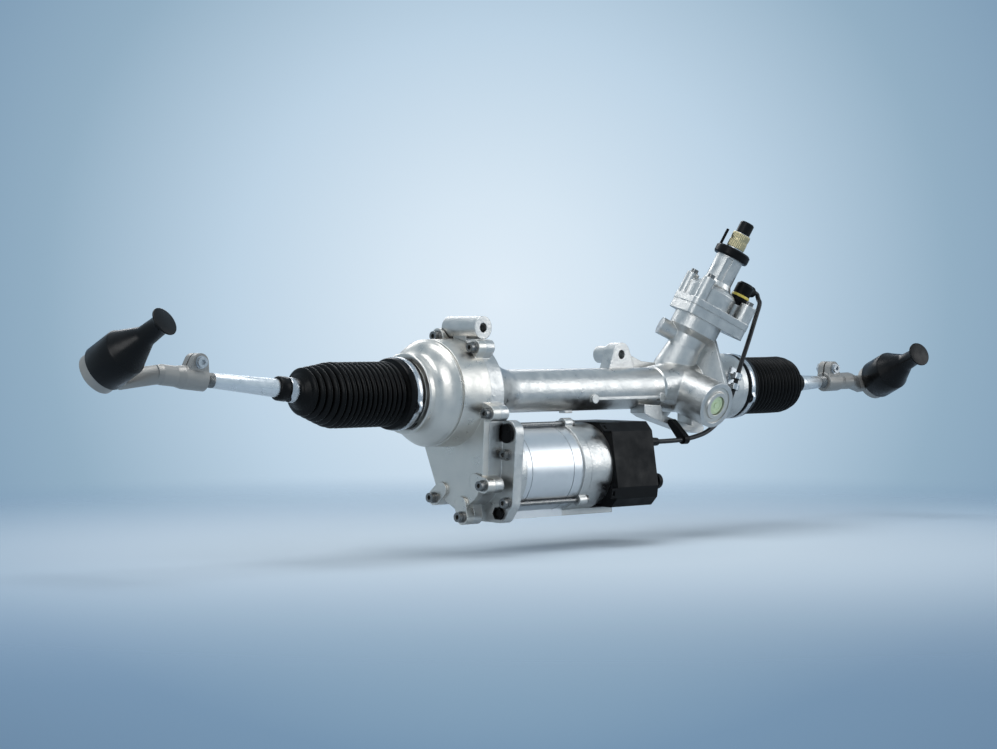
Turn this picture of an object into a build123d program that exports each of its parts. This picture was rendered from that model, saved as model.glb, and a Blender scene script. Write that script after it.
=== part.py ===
from build123d import *
import math
import os

os.makedirs("parts", exist_ok=True)

# Frame: millimetres, Z up. The origin is the centre of the main mounting bore in the ear on the
# rack tube. X runs along the rack towards the pinion end, Y points to the back of the object.

# Rack axis, measured from the main mounting bore
rack_back = -26.0
rack_up = -39.0

# Rack bar
rack_r = 13.0
rack_centre = -108.0
joint_half_span = 335.0
joint_socket_reach = 31.0
rack_travel_left = 49.0
rack_travel_right = 101.0
running_gap = 0.05

# Rack teeth and pinion
tooth_count = 8
tooth_module = 2.1
pressure_angle = 25.0
profile_shift = 0.3
tooth_play = 0.12
pinion_x = 86.0
tower_lean = 21.0
tower_roll = 18.0
tooth_flat = 9.5
tooth_depth = 4.0
tooth_margin = 18.0
rack_end_chamfer = 2.0

# Castings
split_x = -276.0
tube_r = 24.0
tube_bore_r = 17.0
cup_r = 39.3
spigot_r = 36.5
spigot_length = 20.0
cup_x = 192.0
cup_stop_x = 143.0
cup_bore_r = 22.0
nut_case_r = 57.5
nut_case_bore_r = 49.5
nut_collar_r = 43.0
nut_collar_x = -350.0
nut_stop_x = -309.5
nut_spigot_x = nut_collar_x - spigot_length
socket_bore_r = 20.5
groove_x = -316.0
case_back_x = -256.0
belt_case_r = 38.0
case_wall = 5.0
bell_shoulder_r = 54.0
bell_waist_r = 46.0
bell_x = -236.0
bell_r = 40.0
tube_x = -198.0
block_r = 30.0
land_places = (-79.0, 34.0)
land_up = -10.5
land_r = 5.2
bar_half = 1.5
arm_depth = 22.0
flange_plate = 12.0
plug_land = 4.0

# Motor axis, measured from the rack axis
motor_back = -15.0
motor_down = -85.0
motor_r = 47.5
motor_wall = 3.5
motor_flange_r = 54.0
motor_flange_x = -232.0
motor_end_x = -137.0
end_ring_r = 49.5
ecu_end_x = -19.0

# Ball nut, belt and pulleys
nut_r = 24.0
nut_left_x = -305.0
nut_right_x = -240.0
bearing_r = 37.0
bearing_left_x = -300.0
bearing_right_x = -282.0
bearing_ball_r = 4.5
bearing_ball_count = 14
belt_left_x = -277.0
belt_right_x = -259.0
belt_tooth_pitch = 3.0
driven_teeth = 93
motor_teeth = 31
belt_back = 1.6
belt_land = 0.35

nut_cavity_r = 26.0
cover_depth = 8.0
belt_room = 4.0
mouth_r = 27.5
nut_flange_r = 27.5
bearing_pitch_r = 31.0
motor_shaft_r = 6.0
motor_hole_r = 10.0
motor_bearing_r = 15.0
motor_bearing_left = -252.0
motor_bearing_right = -243.0
rotor_r = 24.0
rotor_left = -221.0
rotor_right = -148.0
end_bearing_left = -133.0
end_bearing_right = -124.0
end_lug_x = -125.0
ecu_start_x = -91.0
ecu_wall = 2.5
ecu_chamfer = 5.0
gland_spot = (-50.0, -60.0)
gland_r = 6.0
vent_spot = (-60.0, -104.0)
board_x = -72.0
board_blocks = [(-18, 14, 20, 26, 10), (12, 18, 24, 14, 6), (14, -18, 14, 14, 14)]
lead_r = 2.75
lead_start_x = -4.0
# Corners of the electronics cover as (back, up) from the rack axis
ecu_corners = [
    (-52, -36), (-61, -46), (-71, -108), (-69, -121), (-60, -130.5), (28, -130.5), (34, -124), (34, -44), (26, -36),
]
driven_r = driven_teeth * belt_tooth_pitch / (2 * math.pi)
motor_pulley_r = motor_teeth * belt_tooth_pitch / (2 * math.pi)

# Bolts
case_bolt_r = 3.0
case_bolt_head_r = 6.2
case_bolt_head = 7.0
case_ear_r = 8.5
case_ear_left = 11.0
case_ear_right = 12.0
bolt_clearance = 0.2
# Bolt places as (back, up) from the rack axis
case_bolt_spots = [
    (14, 61), (-43, 49), (-65, -21), (-57, -98), (-24, -133), (20, -114), (57, 32), (43, -46),
]
motor_bolt_front = (-62, -66)
motor_bolt_angles = (215, 335)
motor_bolt_ring = 57.0
tie_bolt_angles = (105, 225, 345)
tie_bolt_ring = 50.5
tie_bolt_r = 2.5
black_plug_r = 9.8
black_plug_spot = (-62.0, -43.0)
steel_plug_r = 6.5
steel_plug_angle = 231

# Mounting ear and top boss
mount_bore_r = 5.25
mount_boss_r = 14.0
mount_bushing_r = 10.0
mount_boss_half = 18.0
ear_plate = 15.0
fin_thick = 7.0
top_boss_x = -270.0
top_boss_up = 70.0
top_boss_r = 12.5
top_boss_front = -40.0
top_boss_back = 12.0
top_web_start = 18.0
top_web_thick = 20.0

# Pinion tower, distances measured along the pinion axis from the rack
tower_head_s = 68.0
tower_flange_s = 96.0
flange_depth = 12.0
foot_r = 25.0
foot_waist_r = 20.5
side_boss_s = 57.0
side_boss_r = 10.5
side_boss_reach = 39.0
gusset_side = 12.0
gusset_half = 3.0
sensor_top_s = 126.0
sensor_r = 29.5
neck_r = 16.5
neck_top_s = 168.0
collar_top_s = 177.0
shaft_r = 10.5
shaft_body_r = 10.2
spline_start_s = 178.0
shaft_top_s = 198.0
cap_top_s = 213.0
shaft_bore_r = 13.5
sensor_bore_r = 22.0
neck_bore_r = 12.0
torsion_bar_r = 3.85
pinion_tip_r = 10.6
pinion_root_r = 6.4
pinion_half = 17.0
bearing_width = 10.0
lower_bearing_s = -30.0
upper_bearing_s = 26.0
lower_bearing_r = 11.0
upper_bearing_r = 14.5
upper_journal_r = 7.0
journal_step = 0.4

# Sensor housing details
lug_left_s = 131.0
lug_right_s = 125.0
connector_seat_s = 121.0
connector_top_s = 150.0
collar_r = 21.5
collar_tab = 22.0
shaft_start_s = 48.0
shaft_tip_r = 6.5
torsion_top_s = 120.0
groove_side = (-0.673, 0.739)
groove_turn = 132.3
# Places round the pinion axis: the first number away from the yoke, the second against the side
lug_left = (-11.5, 30.0)
lug_right = (-37.0, -27.0)
lug_back = (26.0, 16.0)
lug_left_r = 8.5
lug_right_r = 10.5
screw_r = 2.5
connector_spot = (-14.0, -33.0)
connector_r = 10.5

# Yoke
yoke_back = 40.0
spring_r = 8.0
spring_wire_r = 1.3
spring_turns = 4.5
yoke_r = 16.0
yoke_boss_r = 27.0
yoke_face = 66.0
yoke_plug_r = 21.5
yoke_plug_depth = 13.0

# Bellows
bellows_r = 34.5
bellows_wall = 1.6
bellows_rib = 3.6
left_ribs = 17
right_ribs = 14
left_clamp_reach = 64.0
right_clamp_reach = 77.0
fold_step = 2.4

# Tie rods and their ends
ball_r = 13.5
seat_wall = 2.0
socket_r = 19.5
rod_r = 8.0
thread_r = 7.0
left_rod_length = 270.0
right_rod_length = 249.0
left_rod_up = 6.5
left_rod_back = 8.0
right_rod_up = 1.0
right_rod_back = 0.0
end_socket_r = 22.0
end_ball_r = 12.5
stud_lean = 12.0
left_stud_roll = 32.0
right_stud_roll = 22.5
sleeve_r = 12.0
sleeve_near = 62.0
sleeve_far = 112.0
cap_r = 24.5
cap_wall = 1.8

# Outer joint: socket on the stud axis, cap over the stud
end_socket_low = -15.0
end_socket_high = 9.0
end_seat_r = 15.0
stud_r = 8.0
stud_thread_r = 6.0
stud_length = 62.0
cap_rim = -1.0
cap_shoulder = 28.0
cap_waist = 60.0
cap_neck = 86.0
rod_neck_r = 6.5
clamp_bolt_r = 3.5
arm_reach = 29.0
arm_drop = 8.5
arm_thick = 13.0
clamp_bolt_up = 16.5
clamp_ear_half = 9.0
clamp_band = 1.5

# Lead route as (x, back, up) from the rack axis, its first point inside the grommet
lead_points = [
    (-12, -50, -60), (31, -50, -60), (64, -46, -57.5), (97, -41.5, -51.5), (120, -42.5, -35), (134, -46, -9),
    (145, -47.5, 22), (164, -45.5, 54), (181, -42.5, 83), (191.5, -40.8, 100),
]
lead_exit = Vector(1, 0, 0)
lead_nose = 17.0
arm_front = -26.0
clip_pad_r = 4.0
clip_shares = (0.3, 0.7)
clip_play = 0.6
bracket_point = Vector(139, rack_back - 36.5, rack_up + 4)


# Planes and small helpers

def across(x, back=0.0, up=0.0):
    """Plane square to the rack at x: local x points to the back, local y points up."""
    return Plane(
        origin=(x, rack_back + back, rack_up + up), x_dir=(0, 1, 0), z_dir=(1, 0, 0)
    )


def along(back=0.0, up=0.0):
    """Plane through a line parallel to the rack: local x along the rack, local y up."""
    return Plane(
        origin=(0, rack_back + back, rack_up + up), x_dir=(1, 0, 0), z_dir=(0, -1, 0)
    )


def turned(plane, points):
    """Solid turned about the plane's local x axis from (along, radius) points."""
    with BuildPart() as piece:
        with BuildSketch(plane):
            with BuildLine():
                Polyline(*points, close=True)
            make_face()
        revolve(axis=Axis(plane.origin, plane.x_dir))
    return piece.part


def ring(plane, start, end, outer, inner):
    """Plain ring about the plane's local x axis."""
    return turned(plane, [(start, inner), (start, outer), (end, outer), (end, inner)])


def save(part, label):
    """Name the piece and write it to its own file."""
    part.label = label
    export_step(part, "parts/" + label + ".step")


def joined(parts):
    """Group separate solids that share one node."""
    return Compound(children=list(parts))


rack_line = along()
motor_line = along(motor_back, motor_down)
left_joint_x = rack_centre - joint_half_span
right_joint_x = rack_centre + joint_half_span
small_clamp_left_x = left_joint_x - left_clamp_reach
small_clamp_right_x = right_joint_x + right_clamp_reach
rack_left_x = left_joint_x + joint_socket_reach
rack_right_x = right_joint_x - joint_socket_reach

# Pinion tower directions: press points from the pinion to the yoke plug, tower points up the shaft
roll = math.radians(tower_roll)
lean = math.radians(tower_lean)
press = Vector(0, -math.cos(roll), -math.sin(roll))
level = Vector(0, -math.sin(roll), math.cos(roll))
tower = level * math.cos(lean) + Vector(math.sin(lean), 0, 0)
pitch_r = tooth_module * tooth_count / 2
mesh_distance = tooth_flat + pitch_r - (tooth_module * (1 - profile_shift))
rack_cross = Vector(pinion_x, rack_back, rack_up)
pinion_cross = rack_cross - press * mesh_distance


def tower_plane(s):
    """Plane square to the pinion axis: local x points away from the yoke, local z up the shaft."""
    return Plane(origin=pinion_cross + tower * s, x_dir=-press, z_dir=tower)


tower_line = Plane(origin=pinion_cross, x_dir=tower, z_dir=tower.cross(press))
yoke_line = Plane(origin=rack_cross, x_dir=press, z_dir=tower)


def tie_rod_plane(side, joint_x, up, back):
    """Plane at an inner ball: local x runs out along the tie rod, local z stays near the vertical."""
    out = Vector(side * math.cos(math.radians(back)), math.sin(math.radians(back)), 0)
    out = out * math.cos(math.radians(up)) + Vector(0, 0, math.sin(math.radians(up)))
    flat = Vector(0, 0, 1).cross(out).normalized()
    return Plane(
        origin=(joint_x, rack_back, rack_up), x_dir=out, z_dir=out.cross(flat)
    )


left_rod_line = tie_rod_plane(-1, left_joint_x, left_rod_up, left_rod_back)
right_rod_line = tie_rod_plane(1, right_joint_x, right_rod_up, right_rod_back)


# Rack bar with its slanted teeth facing the pinion

def make_rack_bar():
    pitch = math.pi * tooth_module
    across_teeth = tower.cross(press)
    tooth_plane = Plane(
        origin=rack_cross - press * tooth_flat, x_dir=across_teeth, z_dir=tower
    )
    slope = math.tan(math.radians(pressure_angle))
    half_tip = pitch / 4 - tooth_module * slope
    half_mouth = pitch / 2 - half_tip
    half_floor = half_mouth - tooth_depth * slope
    reach = (rack_travel_left + rack_travel_right) / 2 + tooth_margin
    middle = (rack_travel_left - rack_travel_right) / 2
    slots = int(2 * reach * math.cos(lean) / pitch)
    first = round((middle * math.cos(lean)) / pitch - slots / 2)
    with BuildPart() as bar:
        with BuildSketch(across(rack_left_x)):
            Circle(rack_r)
        extrude(amount=rack_right_x - rack_left_x)
        chamfer(bar.edges().filter_by(GeomType.CIRCLE), rack_end_chamfer)
        flat_plane = Plane(
            origin=rack_cross + Vector(middle, 0, 0) - press * tooth_flat,
            x_dir=(1, 0, 0), z_dir=-press,
        )
        with BuildSketch(flat_plane):
            Rectangle(2 * reach, 2 * rack_r)
        extrude(amount=rack_r, mode=Mode.SUBTRACT)
        with BuildSketch(tooth_plane):
            for k in range(first, first + slots + 1):
                with Locations((k * pitch, 0)):
                    Polygon(
                        (-half_mouth, 0), (half_mouth, 0),
                        (half_floor, -tooth_depth), (-half_floor, -tooth_depth),
                        align=None,
                    )
        slot_reach = (reach - middle) * math.sin(lean) + 2 * rack_r
        extrude(amount=slot_reach, both=True, mode=Mode.SUBTRACT)
    return bar.part


def make_pinion():
    angle = math.radians(pressure_angle)
    base_r = pitch_r * math.cos(angle)
    thick = tooth_module * (math.pi / 2 + 2 * profile_shift * math.tan(angle)) - tooth_play
    start = thick / (2 * pitch_r) + math.tan(angle) - angle

    def half_angle(radius):
        """Half the tooth's angle at a radius, on the involute of the base circle."""
        here = math.acos(min(1.0, base_r / radius))
        return start - (math.tan(here) - here)

    steps = 5
    flank = []
    for i in range(steps + 1):
        radius = base_r + (pinion_tip_r - base_r) * i / steps
        flank.append((radius, half_angle(radius)))
    root_angle = flank[0][1]
    outline = [(pinion_root_r, root_angle)] + flank
    right_side = [(r * math.cos(a), r * math.sin(a)) for r, a in outline]
    left_side = [(r * math.cos(a), -r * math.sin(a)) for r, a in reversed(outline)]
    with BuildPart() as gear:
        with BuildSketch(tower_plane(-pinion_half)):
            Circle(pinion_root_r)
            with BuildLine():
                Polyline(*left_side, *right_side, close=True)
            tooth = make_face(mode=Mode.PRIVATE)
            for k in range(tooth_count):
                add(tooth.rotate(Axis.Z, 360.0 * k / tooth_count + 180.0))
        extrude(amount=2 * pinion_half)
        lower_end = lower_bearing_s - bearing_width / 2 - 2
        with BuildSketch(tower_plane(lower_end)):
            Circle(pinion_root_r - journal_step)
        extrude(amount=-lower_end - pinion_half)
        upper_end = upper_bearing_s + bearing_width / 2 + 1
        with BuildSketch(tower_plane(pinion_half)):
            Circle(upper_journal_r)
        extrude(amount=upper_end - pinion_half)
        with BuildSketch(tower_plane(upper_end)):
            Circle(shaft_bore_r - 1.5)
        extrude(amount=14)
        with BuildSketch(tower_plane(0)):
            Circle(torsion_bar_r + running_gap)
        extrude(amount=upper_end + 16, mode=Mode.SUBTRACT)
    return gear.part


save(make_rack_bar(), "rack_bar")
save(make_pinion(), "pinion")


# Outlines and places shared by the castings

def polar(radius, angle):
    """Point on a circle, angle in degrees."""
    return radius * math.cos(math.radians(angle)), radius * math.sin(math.radians(angle))


def motor_spot(radius, angle):
    """Point round the motor axis, measured from the rack axis."""
    y, z = polar(radius, angle)
    return motor_back + y, motor_down + z


steel_plug_spot = motor_spot(motor_bolt_ring, steel_plug_angle)
motor_bolt_spots = [motor_bolt_front] + [motor_spot(motor_bolt_ring, angle) for angle in motor_bolt_angles]


def belt_outline(rack_end_r, motor_end_r):
    """Belt case outline: the outer tangent shape round both pulleys."""
    Circle(rack_end_r)
    with Locations((motor_back, motor_down)):
        Circle(motor_end_r)
    make_hull()


def ear_inner(spot):
    """Where a bolt ear runs back into its casting wall."""
    y, z = spot
    oy, oz = (0, 0) if z > motor_down / 2 - 10 else (motor_back, motor_down)
    reach = math.hypot(y - oy, z - oz)
    share = (reach - 14) / reach
    return oy + (y - oy) * share, oz + (z - oz) * share


def case_ears(start, length):
    """Bolt ears of one casting, from the split plane."""
    with BuildPart() as ears:
        for spot in case_bolt_spots:
            with BuildSketch(across(start)):
                with Locations(spot):
                    Circle(case_ear_r)
                with Locations(ear_inner(spot)):
                    Circle(case_ear_r)
                make_hull()
            extrude(amount=length)
    return ears.part


def case_bolt_holes(start, length, radius):
    """Cutters for the case bolts."""
    with BuildPart() as holes:
        with BuildSketch(across(start)):
            with Locations(*case_bolt_spots):
                Circle(radius)
        extrude(amount=length)
    return holes.part


def tower_outline(core_r, right_r):
    """Outline of the sensor housing: a round core with a screw lug each side and one behind."""
    Circle(core_r)
    with Locations(lug_left):
        Circle(right_r - 2)
    with Locations(lug_right):
        Circle(right_r)
    with Locations(lug_back):
        Circle(right_r - 2)
    make_hull()


def front_plane(back, x=0.0, up=0.0):
    """Upright plane that faces the front: local x along the rack, local y up."""
    return Plane(origin=(x, rack_back + back, rack_up + up), x_dir=(1, 0, 0), z_dir=(0, -1, 0))


def motor_flange():
    """Broad plate with lobes for the bolts and plugs, then the round collar the motor sits on."""
    with BuildPart() as flange:
        with BuildSketch(across(case_back_x)):
            with Locations((motor_back, motor_down)):
                Circle(motor_flange_r)
            with Locations(*motor_bolt_spots):
                Circle(case_ear_r)
            with Locations(black_plug_spot):
                Circle(black_plug_r + plug_land)
            with Locations(steel_plug_spot):
                Circle(steel_plug_r + plug_land)
            make_hull()
        extrude(amount=flange_plate)
        with BuildSketch(across(case_back_x)):
            with Locations((motor_back, motor_down)):
                Circle(motor_flange_r)
        extrude(amount=motor_flange_x - case_back_x)
    return flange.part


def bell_and_tube():
    """Bell that closes down to the rack tube, and the tube that swells into block and cup."""
    with BuildPart() as body:
        with BuildSketch(rack_line):
            with BuildLine():
                Polyline(
                    (case_back_x, 0), (case_back_x, nut_case_r), (case_back_x + 4, bell_shoulder_r),
                    (case_back_x + 10, bell_waist_r), (bell_x, bell_r),
                )
                Spline((bell_x, bell_r), (bell_x + 18, 30), (tube_x, tube_r), tangents=[(1, -0.75), (1, -0.1)])
                Polyline((tube_x, tube_r), (tube_x, 0), (case_back_x, 0))
            make_face()
        revolve(axis=Axis(rack_line.origin, rack_line.x_dir))
        cup_step_x = cup_x - spigot_length
        add(
            turned(
                rack_line,
                [
                    (tube_x - 1, 0), (tube_x - 1, tube_r), (pinion_x - 46, tube_r), (pinion_x - 44, tube_r + 1.5),
                    (pinion_x - 20, block_r - 1), (pinion_x + 30, block_r), (cup_stop_x, block_r + 4),
                    (cup_step_x - 8, cup_r), (cup_step_x, cup_r), (cup_step_x, spigot_r), (cup_x, spigot_r),
                    (cup_x, 0),
                ],
            )
        )
    return body.part


def tower_foot():
    """Round foot along the pinion axis with its screw flange, side boss, yoke boss and gusset."""
    side_way = tower.cross(press)
    with BuildPart() as foot:
        add(
            turned(
                tower_line,
                [
                    (lower_bearing_s - 14, 0), (lower_bearing_s - 14, 15), (lower_bearing_s - 10, 19),
                    (0, foot_r), (20, foot_r - 0.5), (48, foot_waist_r), (61, foot_waist_r + 1),
                    (tower_head_s, sensor_r), (tower_flange_s, sensor_r), (tower_flange_s, 0),
                ],
            )
        )
        with BuildSketch(tower_plane(tower_flange_s - flange_depth)):
            tower_outline(sensor_r - 0.5, lug_right_r - 0.5)
        extrude(amount=flange_depth)
        boss_out = (side_way * 0.8 + press * 0.6) * -1
        with BuildSketch(Plane(origin=pinion_cross + tower * side_boss_s, x_dir=tower, z_dir=boss_out)):
            Circle(side_boss_r)
        extrude(amount=side_boss_reach)
        with BuildSketch(Plane(origin=rack_cross, x_dir=tower, z_dir=press)):
            Circle(yoke_boss_r)
        extrude(amount=yoke_face)
        with BuildSketch(Plane(origin=pinion_cross + side_way * gusset_side, x_dir=press, z_dir=side_way)):
            with BuildLine():
                Polyline((12, -10), (60, -16), (78, -20), (76, -24.5), (27, -71), (12, -71), close=True)
            make_face()
        extrude(amount=gusset_half, both=True)
    return foot.part


def mounting_ear():
    """Ear plate with its rear bushing boss, the web down to the tube and the fin towards the tower."""
    plate_back = ear_plate - mount_boss_half
    with BuildPart() as ear:
        with BuildSketch(Plane.XZ.offset(mount_boss_half)):
            Circle(mount_boss_r)
            with Locations((-24, rack_up), (26, rack_up)):
                Circle(6)
            make_hull()
        extrude(amount=-ear_plate)
        with BuildSketch(Plane.XZ):
            Circle(mount_bushing_r)
        extrude(amount=mount_boss_half, both=True)
        with BuildSketch(Plane.XZ.offset(-plate_back)):
            with BuildLine():
                Polyline(
                    (4, 12), (12, 9), (24, -1), (42, -8), (66, -10), (80, rack_up + 10), (4, rack_up + 4),
                    close=True,
                )
            make_face()
        extrude(amount=fin_thick)
    return ear.part


def top_boss():
    """Second mounting boss on top of the bell, with a web under its middle."""
    with BuildPart() as boss:
        plane = Plane(
            origin=(top_boss_x, rack_back + top_boss_front, rack_up), x_dir=(1, 0, 0), z_dir=(0, 1, 0)
        )
        with BuildSketch(plane):
            with Locations((0, -top_boss_up)):
                Circle(top_boss_r)
        extrude(amount=top_boss_back - top_boss_front)
        with BuildSketch(plane.offset(top_web_start)):
            with Locations((0, -top_boss_up)):
                Circle(top_boss_r - 2)
            with Locations((6, -45)):
                Circle(12)
            make_hull()
        extrude(amount=top_web_thick)
    return boss.part


def tube_details():
    """Two round lands with their thin bar on the tube, a small foot below it and the bracket boss."""
    with BuildPart() as details:
        for x in land_places:
            with BuildSketch(front_plane(0, x, land_up)):
                Circle(land_r)
            extrude(amount=tube_r + 1.5)
        left, right = land_places
        with BuildSketch(front_plane(0, 0, land_up)):
            with BuildLine():
                Polyline(
                    (left, bar_half), (right, bar_half), (right + 58, -4.5), (right + 58, -7.5), (right, -bar_half),
                    (left, -bar_half), close=True,
                )
            make_face()
        extrude(amount=tube_r - 0.5)
        with BuildSketch(across(-112, -4, -20)):
            Rectangle(9, 12)
        extrude(amount=12)
        with BuildSketch(Plane(origin=bracket_point + Vector(0, 14, 0), x_dir=(1, 0, 0), z_dir=(0, -1, 0))):
            Circle(6)
        extrude(amount=14)
    return details.part


def slanted_arm():
    """Arm that slants down to the right under the tube, with a block at its end."""
    with BuildPart() as arm:
        with BuildSketch(front_plane(-4)):
            with BuildLine():
                Polyline(
                    (2, -18), (2, -28), (12, -33), (84, -53), (104, -54), (106, -46), (88, -46),
                    (34, -31), (30, -20), close=True,
                )
            make_face()
        extrude(amount=arm_depth)
        with BuildSketch(across(84, -15, -34)):
            Rectangle(22, 26)
        extrude(amount=20)
    return arm.part


def rack_cavities():
    """Cutter: belt room, nut room, rack bore, cup bore and the motor bearing seat."""
    with BuildPart() as room:
        with BuildSketch(across(split_x - 1)):
            belt_outline(nut_case_bore_r, belt_case_r - case_wall)
        extrude(amount=belt_right_x + 2.5 - split_x + 1)
        add(
            turned(
                rack_line,
                [
                    (split_x - 1, 0), (split_x - 1, nut_case_bore_r), (case_back_x, nut_case_bore_r),
                    (-250, 36), (nut_right_x + 2, nut_cavity_r + 4), (nut_right_x + 2, tube_bore_r),
                    (cup_stop_x, tube_bore_r), (cup_stop_x, cup_bore_r), (cup_x + 1, cup_bore_r), (cup_x + 1, 0),
                ],
            )
        )
        add(
            turned(
                motor_line,
                [
                    (belt_right_x + 2, 0), (belt_right_x + 2, motor_hole_r), (motor_bearing_left, motor_hole_r),
                    (motor_bearing_left, motor_bearing_r), (motor_bearing_right, motor_bearing_r),
                    (motor_bearing_right, 28), (motor_flange_x + 1, 36), (motor_flange_x + 1, 0),
                ],
            )
        )
    return room.part


def pinion_bores():
    """Cutter: pinion bore with two bearing seats, yoke bore and the wider mouth for its plug."""
    half = bearing_width / 2
    with BuildPart() as bores:
        add(
            turned(
                tower_line,
                [
                    (lower_bearing_s - half - 4, 0), (lower_bearing_s - half - 4, 9), (lower_bearing_s - half, 9),
                    (lower_bearing_s - half, lower_bearing_r), (lower_bearing_s + half, lower_bearing_r),
                    (lower_bearing_s + half, pinion_tip_r + 1), (upper_bearing_s - half, pinion_tip_r + 1),
                    (upper_bearing_s - half, upper_bearing_r), (upper_bearing_s + half, upper_bearing_r),
                    (upper_bearing_s + half, upper_bearing_r + 0.5), (tower_flange_s + 1, upper_bearing_r + 0.5),
                    (tower_flange_s + 1, 0),
                ],
            )
        )
        add(
            turned(
                yoke_line,
                [
                    (0, 0), (0, yoke_r), (yoke_face - yoke_plug_depth, yoke_r),
                    (yoke_face - yoke_plug_depth, yoke_plug_r), (yoke_face + 6, yoke_plug_r), (yoke_face + 6, 0),
                ],
            )
        )
    return bores.part


def fastener_holes():
    """Cutter: both mounting bores and the holes for bolts, plugs and sensor screws."""
    with BuildPart() as holes:
        with BuildSketch(Plane.XZ):
            Circle(mount_bore_r)
        extrude(amount=mount_boss_half + 1, both=True)
        top = Plane(origin=(top_boss_x, rack_back + top_boss_front, rack_up), x_dir=(1, 0, 0), z_dir=(0, 1, 0))
        with BuildSketch(top):
            with Locations((0, -top_boss_up)):
                Circle(mount_bore_r)
        extrude(amount=top_boss_back - top_boss_front)
        add(case_bolt_holes(split_x - 10, case_ear_right + 9, case_bolt_r + bolt_clearance))
        with BuildSketch(across(motor_flange_x)):
            for angle in tie_bolt_angles:
                with Locations(motor_spot(tie_bolt_ring, angle)):
                    Circle(tie_bolt_r + bolt_clearance)
        extrude(amount=-flange_plate)
        with BuildSketch(across(case_back_x - 1)):
            with Locations(*motor_bolt_spots):
                Circle(case_bolt_r + bolt_clearance)
        extrude(amount=flange_plate + 3)
        with BuildSketch(across(case_back_x)):
            with Locations(black_plug_spot):
                Circle(black_plug_r + 1.2)
        extrude(amount=-5)
        with BuildSketch(across(case_back_x - 1)):
            with Locations(black_plug_spot):
                Circle(black_plug_r)
            with Locations(steel_plug_spot):
                Circle(steel_plug_r)
        extrude(amount=7)
        with BuildSketch(tower_plane(tower_flange_s - flange_depth - 1)):
            with Locations(lug_left, lug_right, lug_back):
                Circle(screw_r + bolt_clearance)
        extrude(amount=flange_depth + 2)
    return holes.part


def make_gear_housing():
    """Long right casting: belt case half, bell, rack tube, tower foot, yoke boss, cup, ears."""
    with BuildPart() as casting:
        with BuildSketch(across(split_x)):
            belt_outline(nut_case_r, belt_case_r)
        extrude(amount=case_back_x - split_x)
        add(case_ears(split_x, case_ear_right))
        add(motor_flange())
        add(bell_and_tube())
        add(tower_foot())
        add(mounting_ear())
        add(top_boss())
        add(tube_details())
        add(slanted_arm())
        add(rack_cavities(), mode=Mode.SUBTRACT)
        add(pinion_bores(), mode=Mode.SUBTRACT)
        add(fastener_holes(), mode=Mode.SUBTRACT)
    return casting.part


def make_nut_housing():
    """Left casting: turned cover of the ball nut with the belt cover plate below it."""
    with BuildPart() as casting:
        with BuildSketch(rack_line):
            with BuildLine():
                Polyline(
                    (nut_spigot_x, 0), (nut_spigot_x, spigot_r - 1), (nut_spigot_x + 1, spigot_r),
                    (nut_collar_x, spigot_r), (nut_collar_x, nut_collar_r - 1), (nut_collar_x + 1, nut_collar_r),
                    (nut_collar_x + 7, nut_collar_r), (nut_collar_x + 8, nut_collar_r - 2),
                    (nut_collar_x + 13, nut_collar_r - 1),
                )
                Spline(
                    (nut_collar_x + 13, nut_collar_r - 1), (nut_collar_x + 21, 49), (nut_collar_x + 31, nut_case_r - 1),
                    tangents=[(1, 0.2), (1, 0.25)],
                )
                Polyline(
                    (nut_collar_x + 31, nut_case_r - 1), (groove_x - 2, nut_case_r), (groove_x - 1.5, nut_case_r - 2),
                    (groove_x + 1.5, nut_case_r - 2), (groove_x + 2, nut_case_r), (split_x - 12, nut_case_r + 1),
                    (split_x, nut_case_r + 1), (split_x, 0), (nut_spigot_x, 0),
                )
            make_face()
        revolve(axis=Axis(rack_line.origin, rack_line.x_dir))
        with BuildSketch(across(split_x)):
            belt_outline(nut_case_r, belt_case_r)
        extrude(amount=-cover_depth)
        add(case_ears(split_x - case_ear_left, case_ear_left))
        # Flared mouth, bore for the joint socket and the stop for its travel
        add(
            turned(
                rack_line,
                [
                    (nut_spigot_x - 1, 0), (nut_spigot_x - 1, mouth_r), (nut_spigot_x + 13, socket_bore_r),
                    (nut_stop_x, socket_bore_r), (nut_stop_x, rack_r + 1.5), (nut_left_x - 1, rack_r + 1.5),
                    (nut_left_x - 1, nut_flange_r + 2), (bearing_left_x, nut_flange_r + 2),
                    (bearing_left_x, bearing_r), (split_x - belt_room, bearing_r),
                    (split_x - belt_room, nut_case_bore_r), (split_x + 1, nut_case_bore_r), (split_x + 1, 0),
                ],
            ),
            mode=Mode.SUBTRACT,
        )
        with BuildSketch(across(split_x + 1)):
            belt_outline(nut_case_bore_r, belt_case_r - case_wall)
        extrude(amount=-belt_room - 1, mode=Mode.SUBTRACT)
        add(
            case_bolt_holes(split_x - case_ear_left - 1, case_ear_left + 2, case_bolt_r + bolt_clearance),
            mode=Mode.SUBTRACT,
        )
        # Spot faces for the bolt heads and room for the boss on top of the bell
        add(
            case_bolt_holes(split_x - case_ear_left, -case_bolt_head - 9, case_bolt_head_r + 0.5),
            mode=Mode.SUBTRACT,
        )
        top_plane = Plane(
            origin=(top_boss_x, rack_back + top_boss_front - 1, rack_up), x_dir=(1, 0, 0), z_dir=(0, 1, 0)
        )
        with BuildSketch(top_plane):
            with Locations((0, -top_boss_up)):
                Circle(top_boss_r + 1)
        extrude(amount=top_boss_back - top_boss_front + 2, mode=Mode.SUBTRACT)
        with BuildSketch(top_plane.offset(-top_boss_front - 23)):
            with Locations((0, -top_boss_up)):
                Circle(top_boss_r - 1.5)
            with Locations((6, -45)):
                Circle(12.5)
            make_hull()
        extrude(amount=24, mode=Mode.SUBTRACT)
    return casting.part


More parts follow.
